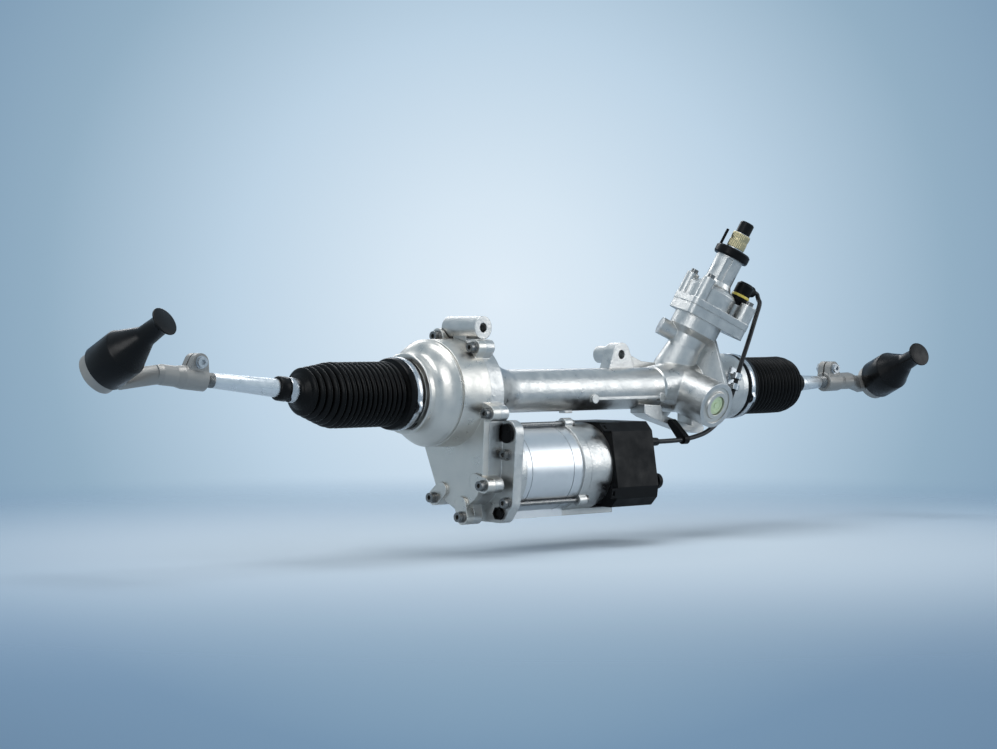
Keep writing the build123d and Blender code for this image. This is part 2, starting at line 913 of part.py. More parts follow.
def bolt(plane, head_r, head, shank_r, shank):
    """Flanged bolt with a six-sided socket: the plane faces out of its head."""
    with BuildPart() as piece:
        with BuildSketch(plane):
            Circle(shank_r)
        extrude(amount=-shank)
        with BuildSketch(plane):
            Circle(head_r)
        extrude(amount=head * 0.25)
        with BuildSketch(plane.offset(head * 0.25)):
            Circle(head_r * 0.84)
        extrude(amount=head * 0.75)
        with BuildSketch(plane.offset(head)):
            RegularPolygon(head_r * 0.45, 6)
        extrude(amount=-head * 0.6, mode=Mode.SUBTRACT)
    return piece.part


def make_case_bolts():
    heads = []
    for y, z in case_bolt_spots:
        face = Plane(
            origin=(split_x - case_ear_left, rack_back + y, rack_up + z), x_dir=(0, 1, 0), z_dir=(-1, 0, 0)
        )
        heads.append(bolt(face, case_bolt_head_r, case_bolt_head, case_bolt_r, case_ear_left + case_ear_right - 1.5))
    return joined(heads)


def make_motor_bolts():
    """Flange bolts, seen from the belt side, and the long tie bolts along the motor."""
    pieces = []
    for y, z in motor_bolt_spots:
        face = Plane(origin=(case_back_x, rack_back + y, rack_up + z), x_dir=(0, 1, 0), z_dir=(-1, 0, 0))
        pieces.append(bolt(face, case_bolt_head_r, case_bolt_head, case_bolt_r, 11))
    for angle in tie_bolt_angles:
        y, z = motor_spot(tie_bolt_ring, angle)
        face = Plane(origin=(end_lug_x, rack_back + y, rack_up + z), x_dir=(0, 1, 0), z_dir=(1, 0, 0))
        pieces.append(bolt(face, 4.5, 5, tie_bolt_r, end_lug_x - motor_flange_x + 9))
    return joined(pieces)


def make_case_plugs():
    """Domed rubber plug and hexagon steel plug in the motor flange."""
    y, z = black_plug_spot
    face = Plane(origin=(case_back_x, rack_back + y, rack_up + z), x_dir=(0, 1, 0), z_dir=(-1, 0, 0))
    with BuildPart() as soft:
        with BuildSketch(face):
            Circle(black_plug_r - running_gap)
        extrude(amount=-5)
        with BuildSketch(face):
            Circle(black_plug_r + 0.8)
        extrude(amount=3)
        chamfer(soft.faces().sort_by(Axis.X)[0].edges(), 1)
    y, z = steel_plug_spot
    face = Plane(origin=(case_back_x, rack_back + y, rack_up + z), x_dir=(0, 1, 0), z_dir=(-1, 0, 0))
    with BuildPart() as hard:
        with BuildSketch(face):
            Circle(steel_plug_r - running_gap)
        extrude(amount=-5)
        with BuildSketch(face):
            RegularPolygon(steel_plug_r + 1, 6)
        extrude(amount=4)
        with BuildSketch(face.offset(4)):
            Circle(steel_plug_r - 1.5)
        extrude(amount=-2, mode=Mode.SUBTRACT)
    return joined([soft.part, hard.part])


# Ball nut, its bearing, the pulleys and the belt

def make_ball_nut():
    middle = (bearing_left_x + bearing_right_x) / 2
    with BuildPart() as nut:
        add(
            turned(
                rack_line,
                [
                    (nut_left_x, rack_r + running_gap), (nut_left_x, nut_r), (bearing_left_x, nut_r),
                    (bearing_left_x, nut_flange_r), (bearing_right_x + 3, nut_flange_r),
                    (bearing_right_x + 3, nut_r), (nut_right_x, nut_r), (nut_right_x, rack_r + running_gap),
                ],
            )
        )
        with BuildSketch(rack_line):
            with Locations((middle, bearing_pitch_r)):
                Circle(bearing_ball_r + running_gap)
        revolve(axis=Axis(rack_line.origin, rack_line.x_dir), mode=Mode.SUBTRACT)
    return nut.part


def make_nut_bearing():
    middle = (bearing_left_x + bearing_right_x) / 2
    with BuildPart() as race:
        add(ring(rack_line, bearing_left_x, bearing_right_x, bearing_r - running_gap, bearing_pitch_r + 2.5))
        with BuildSketch(rack_line):
            with Locations((middle, bearing_pitch_r)):
                Circle(bearing_ball_r + running_gap)
        revolve(axis=Axis(rack_line.origin, rack_line.x_dir), mode=Mode.SUBTRACT)
    return race.part


def make_bearing_balls():
    middle = (bearing_left_x + bearing_right_x) / 2
    balls = []
    for k in range(bearing_ball_count):
        y, z = polar(bearing_pitch_r, 360.0 * k / bearing_ball_count)
        with BuildPart() as ball:
            with Locations((middle, rack_back + y, rack_up + z)):
                Sphere(bearing_ball_r)
        balls.append(ball.part)
    return joined(balls)


def make_driven_pulley():
    rim = driven_r - belt_land
    return turned(
        rack_line,
        [
            (belt_left_x - 1, nut_r + 0.02), (belt_left_x - 1, rim + 1.5), (belt_left_x, rim + 1.5),
            (belt_left_x, rim), (belt_right_x, rim), (belt_right_x, rim - 6), (belt_left_x + 5, rim - 6),
            (belt_left_x + 5, nut_r + 5), (belt_right_x, nut_r + 5), (belt_right_x, nut_r + 0.02),
        ],
    )


def make_motor_pulley():
    rim = motor_pulley_r - belt_land
    return turned(
        motor_line,
        [
            (belt_left_x, motor_shaft_r + 0.02), (belt_left_x, rim), (belt_right_x, rim),
            (belt_right_x, motor_shaft_r + 0.02),
        ],
    )


def make_toothed_belt():
    width = belt_right_x - belt_left_x - 1
    with BuildPart() as belt:
        with BuildSketch(across(belt_left_x + 0.5)):
            belt_outline(driven_r + belt_back, motor_pulley_r + belt_back)
        extrude(amount=width)
        with BuildSketch(across(belt_left_x)):
            belt_outline(driven_r, motor_pulley_r)
        extrude(amount=width + 1, mode=Mode.SUBTRACT)
    return belt.part


# Motor

def make_motor_shaft():
    """Shaft with the rotor pack on it."""
    return turned(
        motor_line,
        [
            (belt_left_x - 1, 0), (belt_left_x - 1, motor_shaft_r), (rotor_left, motor_shaft_r),
            (rotor_left, rotor_r), (rotor_right, rotor_r), (rotor_right, motor_shaft_r),
            (end_bearing_right + 4, motor_shaft_r), (end_bearing_right + 4, 0),
        ],
    )


def make_stator():
    return ring(motor_line, rotor_left - 3, rotor_right + 3, motor_r - motor_wall - 0.05, rotor_r + 0.6)


def make_shaft_bearings():
    """Two bearings of the motor shaft and two of the pinion, as closed rings."""
    return joined(
        [
            ring(motor_line, motor_bearing_left, motor_bearing_right, motor_bearing_r - 0.02,
                 motor_shaft_r + running_gap),
            ring(motor_line, end_bearing_left, end_bearing_right, motor_bearing_r - 0.02,
                 motor_shaft_r + running_gap),
            ring(tower_line, lower_bearing_s - 5, lower_bearing_s + 5, lower_bearing_r - 0.02,
                 pinion_root_r - journal_step + running_gap),
            ring(tower_line, upper_bearing_s - 5, upper_bearing_s + 5, upper_bearing_r - 0.02,
                 upper_journal_r + running_gap),
        ]
    )


def make_motor_housing():
    """Drawn motor can with a flat rail along its underside."""
    with BuildPart() as can:
        with BuildSketch(across(motor_flange_x)):
            with Locations((motor_back, motor_down)):
                Circle(motor_r)
            with Locations((motor_back, motor_down - motor_r)):
                Rectangle(26, 13)
        extrude(amount=motor_end_x - motor_flange_x)
        with BuildSketch(across(motor_flange_x)):
            with Locations((motor_back, motor_down)):
                Circle(motor_r - motor_wall)
        extrude(amount=motor_end_x - motor_flange_x, mode=Mode.SUBTRACT)
        for place in (motor_flange_x + 14, motor_end_x - 16):
            add(ring(motor_line, place, place + 1.2, motor_r + 1, motor_r - 0.8), mode=Mode.SUBTRACT)
    return can.part


def make_motor_end_ring():
    with BuildPart() as shield:
        add(
            turned(
                motor_line,
                [
                    (motor_end_x, motor_hole_r), (motor_end_x, end_ring_r), (motor_end_x + 11, end_ring_r),
                    (motor_end_x + 12, end_ring_r - 1), (ecu_start_x, end_ring_r - 1),
                    (ecu_start_x, end_ring_r - 6), (end_bearing_right, end_ring_r - 6),
                    (end_bearing_right, motor_bearing_r), (end_bearing_left, motor_bearing_r),
                    (end_bearing_left, motor_hole_r),
                ],
            )
        )
        with BuildSketch(across(motor_end_x)):
            for angle in tie_bolt_angles:
                with Locations(motor_spot(tie_bolt_ring, angle)):
                    Circle(6)
        extrude(amount=end_lug_x - motor_end_x)
        with BuildSketch(across(motor_end_x)):
            with Locations((motor_back, motor_down - end_ring_r - 1)):
                Rectangle(26, 7)
        extrude(amount=ecu_start_x + 36 - motor_end_x)
        with BuildSketch(across(motor_end_x)):
            with Locations((motor_back, motor_down)):
                Circle(end_ring_r - 6)
        extrude(amount=end_bearing_left - motor_end_x, mode=Mode.SUBTRACT)
        add(ring(motor_line, end_bearing_left, end_bearing_right, motor_bearing_r + 6, motor_bearing_r))
        with BuildSketch(across(end_bearing_right)):
            with Locations((motor_back, motor_down)):
                Circle(end_ring_r - 6)
        extrude(amount=ecu_start_x - end_bearing_right, mode=Mode.SUBTRACT)
        with BuildSketch(across(end_lug_x)):
            for angle in tie_bolt_angles:
                with Locations(motor_spot(tie_bolt_ring, angle)):
                    Circle(4.9)
        extrude(amount=7, mode=Mode.SUBTRACT)
        with BuildSketch(across(motor_end_x - 1)):
            for angle in tie_bolt_angles:
                with Locations(motor_spot(tie_bolt_ring, angle)):
                    Circle(tie_bolt_r + bolt_clearance)
        extrude(amount=end_lug_x - motor_end_x + 2, mode=Mode.SUBTRACT)
    return shield.part


# Electronics cover

def make_ecu_cover():
    with BuildPart() as cover:
        with BuildSketch(across(ecu_start_x)):
            with BuildLine():
                Polyline(*ecu_corners, close=True)
            make_face()
        extrude(amount=ecu_end_x - ecu_start_x)
        chamfer(cover.faces().sort_by(Axis.X)[-1].edges(), ecu_chamfer)
        with BuildSketch(across(ecu_start_x + ecu_wall)):
            with BuildLine():
                Polyline(*ecu_corners, close=True)
            make_face()
            offset(amount=-ecu_wall, kind=Kind.INTERSECTION)
        extrude(amount=ecu_end_x - ecu_start_x - 3 * ecu_wall, mode=Mode.SUBTRACT)
        with BuildSketch(across(ecu_start_x - 1)):
            with Locations((motor_back, motor_down)):
                Circle(end_ring_r - 6)
        extrude(amount=4, mode=Mode.SUBTRACT)
        # Slotted tabs at the front corners that snap over the end ring
        for start, end, drop in ((ecu_corners[0], ecu_corners[1], 14), (ecu_corners[2], ecu_corners[3], 11)):
            run = (Vector(0, end[0] - start[0], end[1] - start[1])).normalized()
            outward = Vector(1, 0, 0).cross(run) * -1
            middle = ((start[0] + end[0]) / 2, (start[1] + end[1]) / 2)
            tab = Plane(
                origin=Vector(ecu_start_x, rack_back + middle[0], rack_up + middle[1]) - outward * ecu_wall,
                x_dir=(1, 0, 0), z_dir=outward,
            )
            with BuildSketch(tab):
                with Locations((-4, 0)):
                    Rectangle(drop, 11)
                with Locations((-6, 0)):
                    Rectangle(3.5, 6, mode=Mode.SUBTRACT)
            extrude(amount=ecu_wall)
        # Cable hole in the end wall
        with BuildSketch(across(ecu_end_x + 1)):
            with Locations(gland_spot):
                Circle(gland_r)
        extrude(amount=-4 * ecu_wall, mode=Mode.SUBTRACT)
    return cover.part


def make_ecu_board():
    with BuildPart() as board:
        with BuildSketch(across(board_x)):
            with Locations((motor_back, motor_down + 2)):
                Rectangle(74, 78)
        extrude(amount=2)
        for y, z, width, height, depth in board_blocks:
            with BuildSketch(across(board_x + 2)):
                with Locations((motor_back + y, motor_down + z)):
                    Rectangle(width, height)
            extrude(amount=depth)
        # Standoffs that carry the board on the end ring
        for angle in (45, 135, 225, 315):
            with BuildSketch(across(end_bearing_right)):
                with Locations(motor_spot(36, angle)):
                    Circle(3)
            extrude(amount=board_x - end_bearing_right)
    return board.part


def make_ecu_grommet():
    spot = gland_spot
    line = along(*spot)
    return turned(
        line,
        [
            (ecu_end_x - 6, lead_r + 0.02), (ecu_end_x - 6, gland_r - running_gap), (ecu_end_x, gland_r - running_gap),
            (ecu_end_x, gland_r + 1.8), (ecu_end_x + 3, gland_r + 1.8), (ecu_end_x + 4, 5.2),
            (lead_start_x, 4.6), (lead_start_x, lead_r + 0.02),
        ],
    )


def make_vent_cap():
    line = along(*vent_spot)
    return turned(
        line,
        [(ecu_end_x, 0), (ecu_end_x, 8.7), (ecu_end_x + 5.5, 8.7), (ecu_end_x + 8, 6.5), (ecu_end_x + 8, 0)],
    )


# Sensor housing, shaft and what belongs to them

def make_sensor_housing():
    """Round sensor housing with three screw lugs and a long grooved neck."""
    with BuildPart() as housing:
        add(
            turned(
                tower_line,
                [
                    (tower_flange_s, 0), (tower_flange_s, sensor_r), (sensor_top_s - 4, sensor_r),
                    (sensor_top_s, sensor_r - 4), (sensor_top_s + 3, neck_r + 3), (sensor_top_s + 9, neck_r),
                    (neck_top_s, neck_r), (neck_top_s, 0),
                ],
            )
        )
        with BuildSketch(tower_plane(tower_flange_s)):
            tower_outline(sensor_r - 0.6, lug_right_r)
        extrude(amount=8)
        for spot, radius, top in (
            (lug_left, lug_left_r, lug_left_s), (lug_right, lug_right_r, lug_right_s),
            (lug_back, lug_left_r, lug_left_s),
        ):
            with BuildSketch(tower_plane(tower_flange_s + 2)):
                with Locations(spot):
                    Circle(radius - 0.7)
            extrude(amount=top - tower_flange_s - 2)
        # Round seat of the lead connector
        with BuildSketch(tower_plane(tower_flange_s + 4)):
            with Locations(connector_spot):
                Circle(connector_r + 1.3)
        extrude(amount=connector_seat_s - tower_flange_s - 4)
        with BuildSketch(tower_plane(connector_seat_s)):
            with Locations(connector_spot):
                Circle(connector_r + 1.3)
        extrude(amount=12, mode=Mode.SUBTRACT)
        # Sensor room, shaft passage and screw holes
        add(
            turned(
                tower_line,
                [
                    (tower_flange_s - 1, 0), (tower_flange_s - 1, sensor_bore_r),
                    (sensor_top_s - 6, sensor_bore_r), (sensor_top_s - 6, neck_bore_r),
                    (neck_top_s + 1, neck_bore_r), (neck_top_s + 1, 0),
                ],
            ),
            mode=Mode.SUBTRACT,
        )
        with BuildSketch(tower_plane(tower_flange_s - 1)):
            with Locations(lug_left, lug_right, lug_back):
                Circle(screw_r + bolt_clearance)
        extrude(amount=60, mode=Mode.SUBTRACT)
        # Groove down the front of the neck
        with BuildSketch(tower_plane(sensor_top_s + 9)):
            with Locations(Location((neck_r * groove_side[0], neck_r * groove_side[1]), groove_turn)):
                Rectangle(6, 6.4)
        extrude(amount=neck_top_s - sensor_top_s - 13, mode=Mode.SUBTRACT)
    return housing.part


def make_sensor_screws():
    screws = []
    for spot, top in ((lug_left, lug_left_s), (lug_right, lug_right_s), (lug_back, lug_left_s)):
        base = tower_plane(top)
        place = base.origin + base.x_dir * spot[0] + base.y_dir * spot[1]
        face = Plane(origin=place, x_dir=base.x_dir, z_dir=tower)
        screws.append(bolt(face, 5.2, 5, screw_r, top - tower_flange_s + flange_depth - 1.5))
    return joined(screws)


def make_neck_collar():
    """Rubber collar on the neck with its upright indexing tab."""
    with BuildPart() as collar:
        add(
            turned(
                tower_line,
                [
                    (neck_top_s - 2, neck_r + running_gap), (neck_top_s - 2, collar_r - 1), (neck_top_s, collar_r),
                    (collar_top_s - 2, collar_r), (collar_top_s, collar_r - 2), (collar_top_s, shaft_r + 0.8),
                    (neck_top_s + 0.1, shaft_r + 0.8), (neck_top_s + 0.1, neck_r + running_gap),
                ],
            )
        )
        with BuildSketch(tower_plane(collar_top_s - 3)):
            with Locations(Location((13.3, 12.0), 42)):
                Rectangle(3, 9)
        extrude(amount=collar_tab)
    return collar.part


def make_input_shaft():
    """Input shaft with its thinner tip, bored for the torsion bar."""
    return turned(
        tower_line,
        [
            (shaft_start_s, torsion_bar_r + running_gap), (shaft_start_s, shaft_body_r),
            (spline_start_s, shaft_body_r), (spline_start_s, shaft_r), (shaft_top_s, shaft_r),
            (shaft_top_s, shaft_tip_r), (cap_top_s - 3, shaft_tip_r), (cap_top_s - 3, 0), (torsion_top_s + 1, 0),
            (torsion_top_s + 1, torsion_bar_r + running_gap),
        ],
    )


def make_shaft_cap():
    return turned(
        tower_line,
        [
            (shaft_top_s + 0.3, shaft_tip_r + running_gap), (shaft_top_s + 0.3, 8.7), (cap_top_s - 1.5, 8.7),
            (cap_top_s, 7.2), (cap_top_s, 0), (cap_top_s - 2.5, 0), (cap_top_s - 2.5, shaft_tip_r + running_gap),
        ],
    )


def make_torsion_bar():
    """Thin bar with thicker ends; its lower end is fixed in the pinion."""
    end = torsion_bar_r - running_gap
    return turned(
        tower_line,
        [(0.2, 0), (0.2, end), (18, end), (21, 2.4), (torsion_top_s - 17, 2.4), (torsion_top_s - 14, end),
         (torsion_top_s, end), (torsion_top_s, 0)],
    )


def make_sensor_connector():
    """Connector body on the sensor housing with an elbow towards the lead."""
    base = tower_plane(connector_seat_s)
    foot = base.origin + base.x_dir * connector_spot[0] + base.y_dir * connector_spot[1]
    elbow = foot + tower * (connector_top_s - connector_seat_s - 11)
    with BuildPart() as plug:
        with BuildSketch(Plane(origin=foot, x_dir=base.x_dir, z_dir=tower)):
            Circle(connector_r)
        extrude(amount=connector_top_s - connector_seat_s)
        chamfer(plug.faces().sort_by(Axis.Z)[-1].edges(), 3)
        with BuildSketch(Plane(origin=foot + tower * 5, x_dir=base.x_dir, z_dir=tower)):
            Circle(connector_r + 1)
        extrude(amount=4)
        with BuildSketch(Plane(origin=elbow, x_dir=(0, 1, 0), z_dir=lead_exit)):
            Circle(6.5)
        extrude(amount=lead_nose)
        with BuildSketch(Plane(origin=elbow + lead_exit * (lead_nose - 7), x_dir=(0, 1, 0), z_dir=lead_exit)):
            Circle(lead_r + 0.02)
        extrude(amount=8, mode=Mode.SUBTRACT)
    return plug.part


def lead_path():
    """Points of the lead: out of the grommet, along the castings, round into the elbow."""
    base = tower_plane(connector_top_s - 11)
    elbow = base.origin + base.x_dir * connector_spot[0] + base.y_dir * connector_spot[1]
    points = [Vector(x, rack_back + back, rack_up + up) for x, back, up in lead_points]
    points.append(elbow + lead_exit * (lead_nose + 12) + Vector(0, 0, -9))
    points.append(elbow + lead_exit * (lead_nose + 9))
    points.append(elbow + lead_exit * (lead_nose - 5))
    return points


def fold_radii(points):
    """One radius per corner: near half of the shorter run, less for sharp corners."""
    radii = []
    for before, here, after in zip(points, points[1:], points[2:]):
        into, out = here - before, after - here
        turn = math.radians(into.get_angle(out))
        radii.append(0.45 * min(into.length, out.length) / math.tan(turn / 2))
    return radii


def make_sensor_lead():
    points = lead_path()
    radii = fold_radii(points)
    print("sensor lead radii", [round(r, 1) for r in radii])
    with BuildPart() as lead:
        with BuildLine() as route:
            FilletPolyline(*points, radius=radii)
        with BuildSketch(Plane(origin=points[0], z_dir=points[1] - points[0])):
            Circle(lead_r)
        sweep(path=route.wires()[0])
        print("sensor lead length", round(route.wires()[0].length, 1))
    return lead.part


def clip_ring(centre, direction, outer, length):
    """Short sleeve round the lead."""
    plane = Plane(origin=centre - direction * (length / 2), z_dir=direction)
    with BuildPart() as sleeve:
        with BuildSketch(plane):
            Circle(outer)
            Circle(lead_r + clip_play, mode=Mode.SUBTRACT)
        extrude(amount=length)
    return sleeve.part


def make_lead_clips():
    """Clip under the slanted arm, with a strap to the arm's front face."""
    points = lead_path()
    direction = (points[2] - points[1]).normalized()
    centre = points[1] + (points[2] - points[1]) * 0.45
    spot = (centre.Y - rack_back, centre.Z - rack_up)
    with BuildPart() as clip:
        with BuildSketch(across(centre.X - 4)):
            with Locations(spot):
                Circle(5.5)
            with Locations((arm_front + clip_pad_r - 8.0, -40)):
                Circle(clip_pad_r)
            make_hull()
        extrude(amount=8)
        with BuildSketch(Plane(origin=centre - direction * 8, z_dir=direction)):
            Circle(lead_r + clip_play)
        extrude(amount=16, mode=Mode.SUBTRACT)
    return clip.part


def make_lead_bracket():
    """Flat bracket on the cup boss with two clips round the lead."""
    points = lead_path()
    low, high = points[5], points[6]
    run = (high - low).normalized()
    along_run = Vector(run.X, 0, run.Z).normalized()
    plate = Plane(origin=bracket_point, x_dir=(1, 0, 0), z_dir=(0, -1, 0))
    middle = (low + high) * 0.5
    shift = (middle.X - bracket_point.X, middle.Z - bracket_point.Z)
    tilt = math.degrees(math.atan2(along_run.X, along_run.Z))
    with BuildPart() as bracket:
        with BuildSketch(plate):
            with Locations(Location((shift[0], shift[1]), -tilt)):
                Rectangle(11, 34)
            Circle(7)
            make_hull()
        extrude(amount=2.5)
        for share in clip_shares:
            centre = low + (high - low) * share
            near = Plane(origin=(centre.X, bracket_point.Y - 1, centre.Z), x_dir=(1, 0, 0), z_dir=(0, -1, 0))
            with BuildSketch(near):
                Rectangle(9, 7)
            extrude(amount=bracket_point.Y - 1 - centre.Y)
            add(clip_ring(centre, run, 5.4, 7))
        for share in clip_shares:
            centre = low + (high - low) * share
            with BuildSketch(Plane(origin=centre - run * 9, z_dir=run)):
                Circle(lead_r + clip_play)
            extrude(amount=18, mode=Mode.SUBTRACT)
    return bracket.part


def make_torque_sensor():
    return ring(tower_line, tower_flange_s + 1, tower_flange_s + 17, sensor_bore_r - 0.02, shaft_r + 1.5)


def make_shaft_seal():
    return ring(tower_line, shaft_start_s + 12, shaft_start_s + 18, upper_bearing_r + 0.48, shaft_body_r + 0.03)


# Yoke that presses the rack on the pinion

def make_rack_bush():
    """Plastic bush at the cup end that carries the rack."""
    return ring(rack_line, cup_stop_x - 30, cup_stop_x - 4, tube_bore_r - 0.02, rack_r + running_gap)


def make_rack_yoke():
    with BuildPart() as yoke:
        add(
            turned(
                yoke_line,
                [
                    (4, 0), (4, yoke_r - running_gap), (yoke_back, yoke_r - running_gap), (yoke_back, 11),
                    (yoke_back - 9, 11), (yoke_back - 9, 0),
                ],
            )
        )
        with BuildSketch(across(pinion_x - 30)):
            Circle(rack_r + running_gap)
        extrude(amount=60, mode=Mode.SUBTRACT)
    return yoke.part


def make_yoke_spring():
    start = yoke_back - 9
    end = yoke_face - yoke_plug_depth
    height = end - start - 2 * spring_wire_r
    seat = Plane(origin=rack_cross + press * (start + spring_wire_r), z_dir=press)
    coil = seat * Helix(height / spring_turns, height, spring_r)
    with BuildPart() as spring:
        with BuildLine():
            add(coil)
        with BuildSketch(Plane(origin=coil @ 0, z_dir=coil % 0)):
            Circle(spring_wire_r)
        sweep(is_frenet=True)
    return spring.part


def make_yoke_plug():
    with BuildPart() as plug:
        add(
            turned(
                yoke_line,
                [
                    (yoke_face - yoke_plug_depth, 0), (yoke_face - yoke_plug_depth, yoke_plug_r - 0.02),
                    (yoke_face - 1, yoke_plug_r - 0.02), (yoke_face - 1, 17), (yoke_face + 1.5, 16),
                    (yoke_face + 1.5, 11.5), (yoke_face - 3, 11.5), (yoke_face - 3, 0),
                ],
            )
        )
    return plug.part


# Tie rods, bellows and outer joints, the same for both sides

def stud_plane(side, rod_plane, length, turn):
    """Plane at an outer ball: local x along the stud, leaning inwards and turned up from the front."""
    angle = math.radians(turn)
    tilt = math.radians(stud_lean)
    front = Vector(0, -math.cos(angle), math.sin(angle))
    axis = front * math.cos(tilt) - Vector(side * math.sin(tilt), 0, 0)
    ball = rod_plane.origin + rod_plane.x_dir * length
    return Plane(origin=ball, x_dir=axis, z_dir=axis.cross(Vector(1, 0, 0)))


def make_joint_socket(rod_plane, side):
    """Inner joint: cup screwed to the rack end, opened towards the tie rod."""
    line = Plane(origin=rod_plane.origin, x_dir=(side, 0, 0), z_dir=(0, -1, 0))
    with BuildPart() as socket:
        add(
            turned(
                line,
                [
                    (-joint_socket_reach, 0), (-joint_socket_reach, 14), (-joint_socket_reach + 5, socket_r),
                    (8, socket_r), (15, socket_r - 2.5), (15, 0),
                ],
            )
        )
        with Locations(line.origin):
            Sphere(ball_r + seat_wall + 0.02, mode=Mode.SUBTRACT)
        add(turned(line, [(6, 0), (6, 12.9), (8, 12.9), (16, 15.6), (16, 0)]), mode=Mode.SUBTRACT)
    return socket.part


def ball_shell(line, inner, outer, mouth):
    """Plastic seat round a ball: a curved wall turned about the line, open past the mouth."""
    with BuildPart() as shell:
        with BuildSketch(line):
            Circle(outer)
            Circle(inner, mode=Mode.SUBTRACT)
            with Locations(((mouth - outer) / 2, outer / 2)):
                Rectangle(mouth + outer, outer, mode=Mode.INTERSECT)
        revolve(axis=Axis(line.origin, line.x_dir))
    return shell.part


def make_tie_rod(rod_plane, length):
    with BuildPart() as rod:
        add(
            turned(
                rod_plane,
                [
                    (0, 0), (0, rod_neck_r), (24, rod_neck_r), (32, rod_r), (length - sleeve_far - 22, rod_r),
                    (length - sleeve_far - 20, thread_r), (length - sleeve_near + 4, thread_r),
                    (length - sleeve_near + 4, 0),
                ],
            )
        )
        with Locations(rod_plane.origin):
            Sphere(ball_r)
    return rod.part


def make_bellows(side, rod_plane, clamp_x, start_x, ribs, small_ribs):
    """Thin folded boot: big sleeve on the casting, folds, then a loft to the small sleeve on the rod."""
    out = side
    sleeve_out = spigot_r + running_gap + bellows_wall
    fold_start = start_x + out * 4
    fold_end = clamp_x - out * 18
    pitch = (fold_end - fold_start) / ribs
    outer = [(start_x - out * (spigot_length - 2), sleeve_out), (start_x + out * 1, sleeve_out)]
    for k in range(ribs):
        left = ribs - k
        crest = bellows_r if left > small_ribs else bellows_r - fold_step * (small_ribs + 1 - left)
        outer.append((fold_start + pitch * (k + 0.5), crest))
        outer.append((fold_start + pitch * (k + 1), crest - bellows_rib - (0 if left > small_ribs else 1.5)))
    end_r = outer[-1][1]
    inner = [(x, r - bellows_wall) for x, r in reversed(outer)]
    inner[-1] = (outer[0][0], spigot_r + running_gap)
    inner[-2] = (start_x + out * 1, spigot_r + running_gap)
    with BuildPart() as boot:
        add(turned(rack_line, outer + inner))
        reach = (clamp_x - rod_plane.origin.X) / rod_plane.x_dir.X
        neck_plane = Plane(
            origin=rod_plane.origin + rod_plane.x_dir * reach, x_dir=rod_plane.z_dir, z_dir=rod_plane.x_dir
        )
        for shrink, mode in ((0, Mode.ADD), (bellows_wall, Mode.SUBTRACT)):
            with BuildSketch(Plane(origin=(fold_end, rack_back, rack_up), x_dir=(0, 1, 0), z_dir=(out, 0, 0))):
                Circle(end_r - shrink)
            with BuildSketch(neck_plane.offset(-5)):
                Circle(rod_r + running_gap + bellows_wall - shrink)
            loft(mode=mode)
        with BuildSketch(neck_plane.offset(-5)):
            Circle(rod_r + running_gap + bellows_wall)
            Circle(rod_r + running_gap, mode=Mode.SUBTRACT)
        extrude(amount=11)
    return boot.part


def clamp(line, start, end, inner):
    """Band clamp with a crimped ear on its front."""
    outer = inner + clamp_band
    middle = (start + end) / 2
    width = abs(end - start)
    with BuildPart() as band:
        add(ring(line, start, end, outer, inner))
        with BuildSketch(Plane(origin=line.origin + line.x_dir * middle, x_dir=line.x_dir, z_dir=line.z_dir)):
            Rectangle(width, 2 * clamp_band + 2)
        extrude(amount=outer + 3)
        add(turned(line, [(start - 1, 0), (start - 1, inner), (end + 1, inner), (end + 1, 0)]), mode=Mode.SUBTRACT)
    return band.part


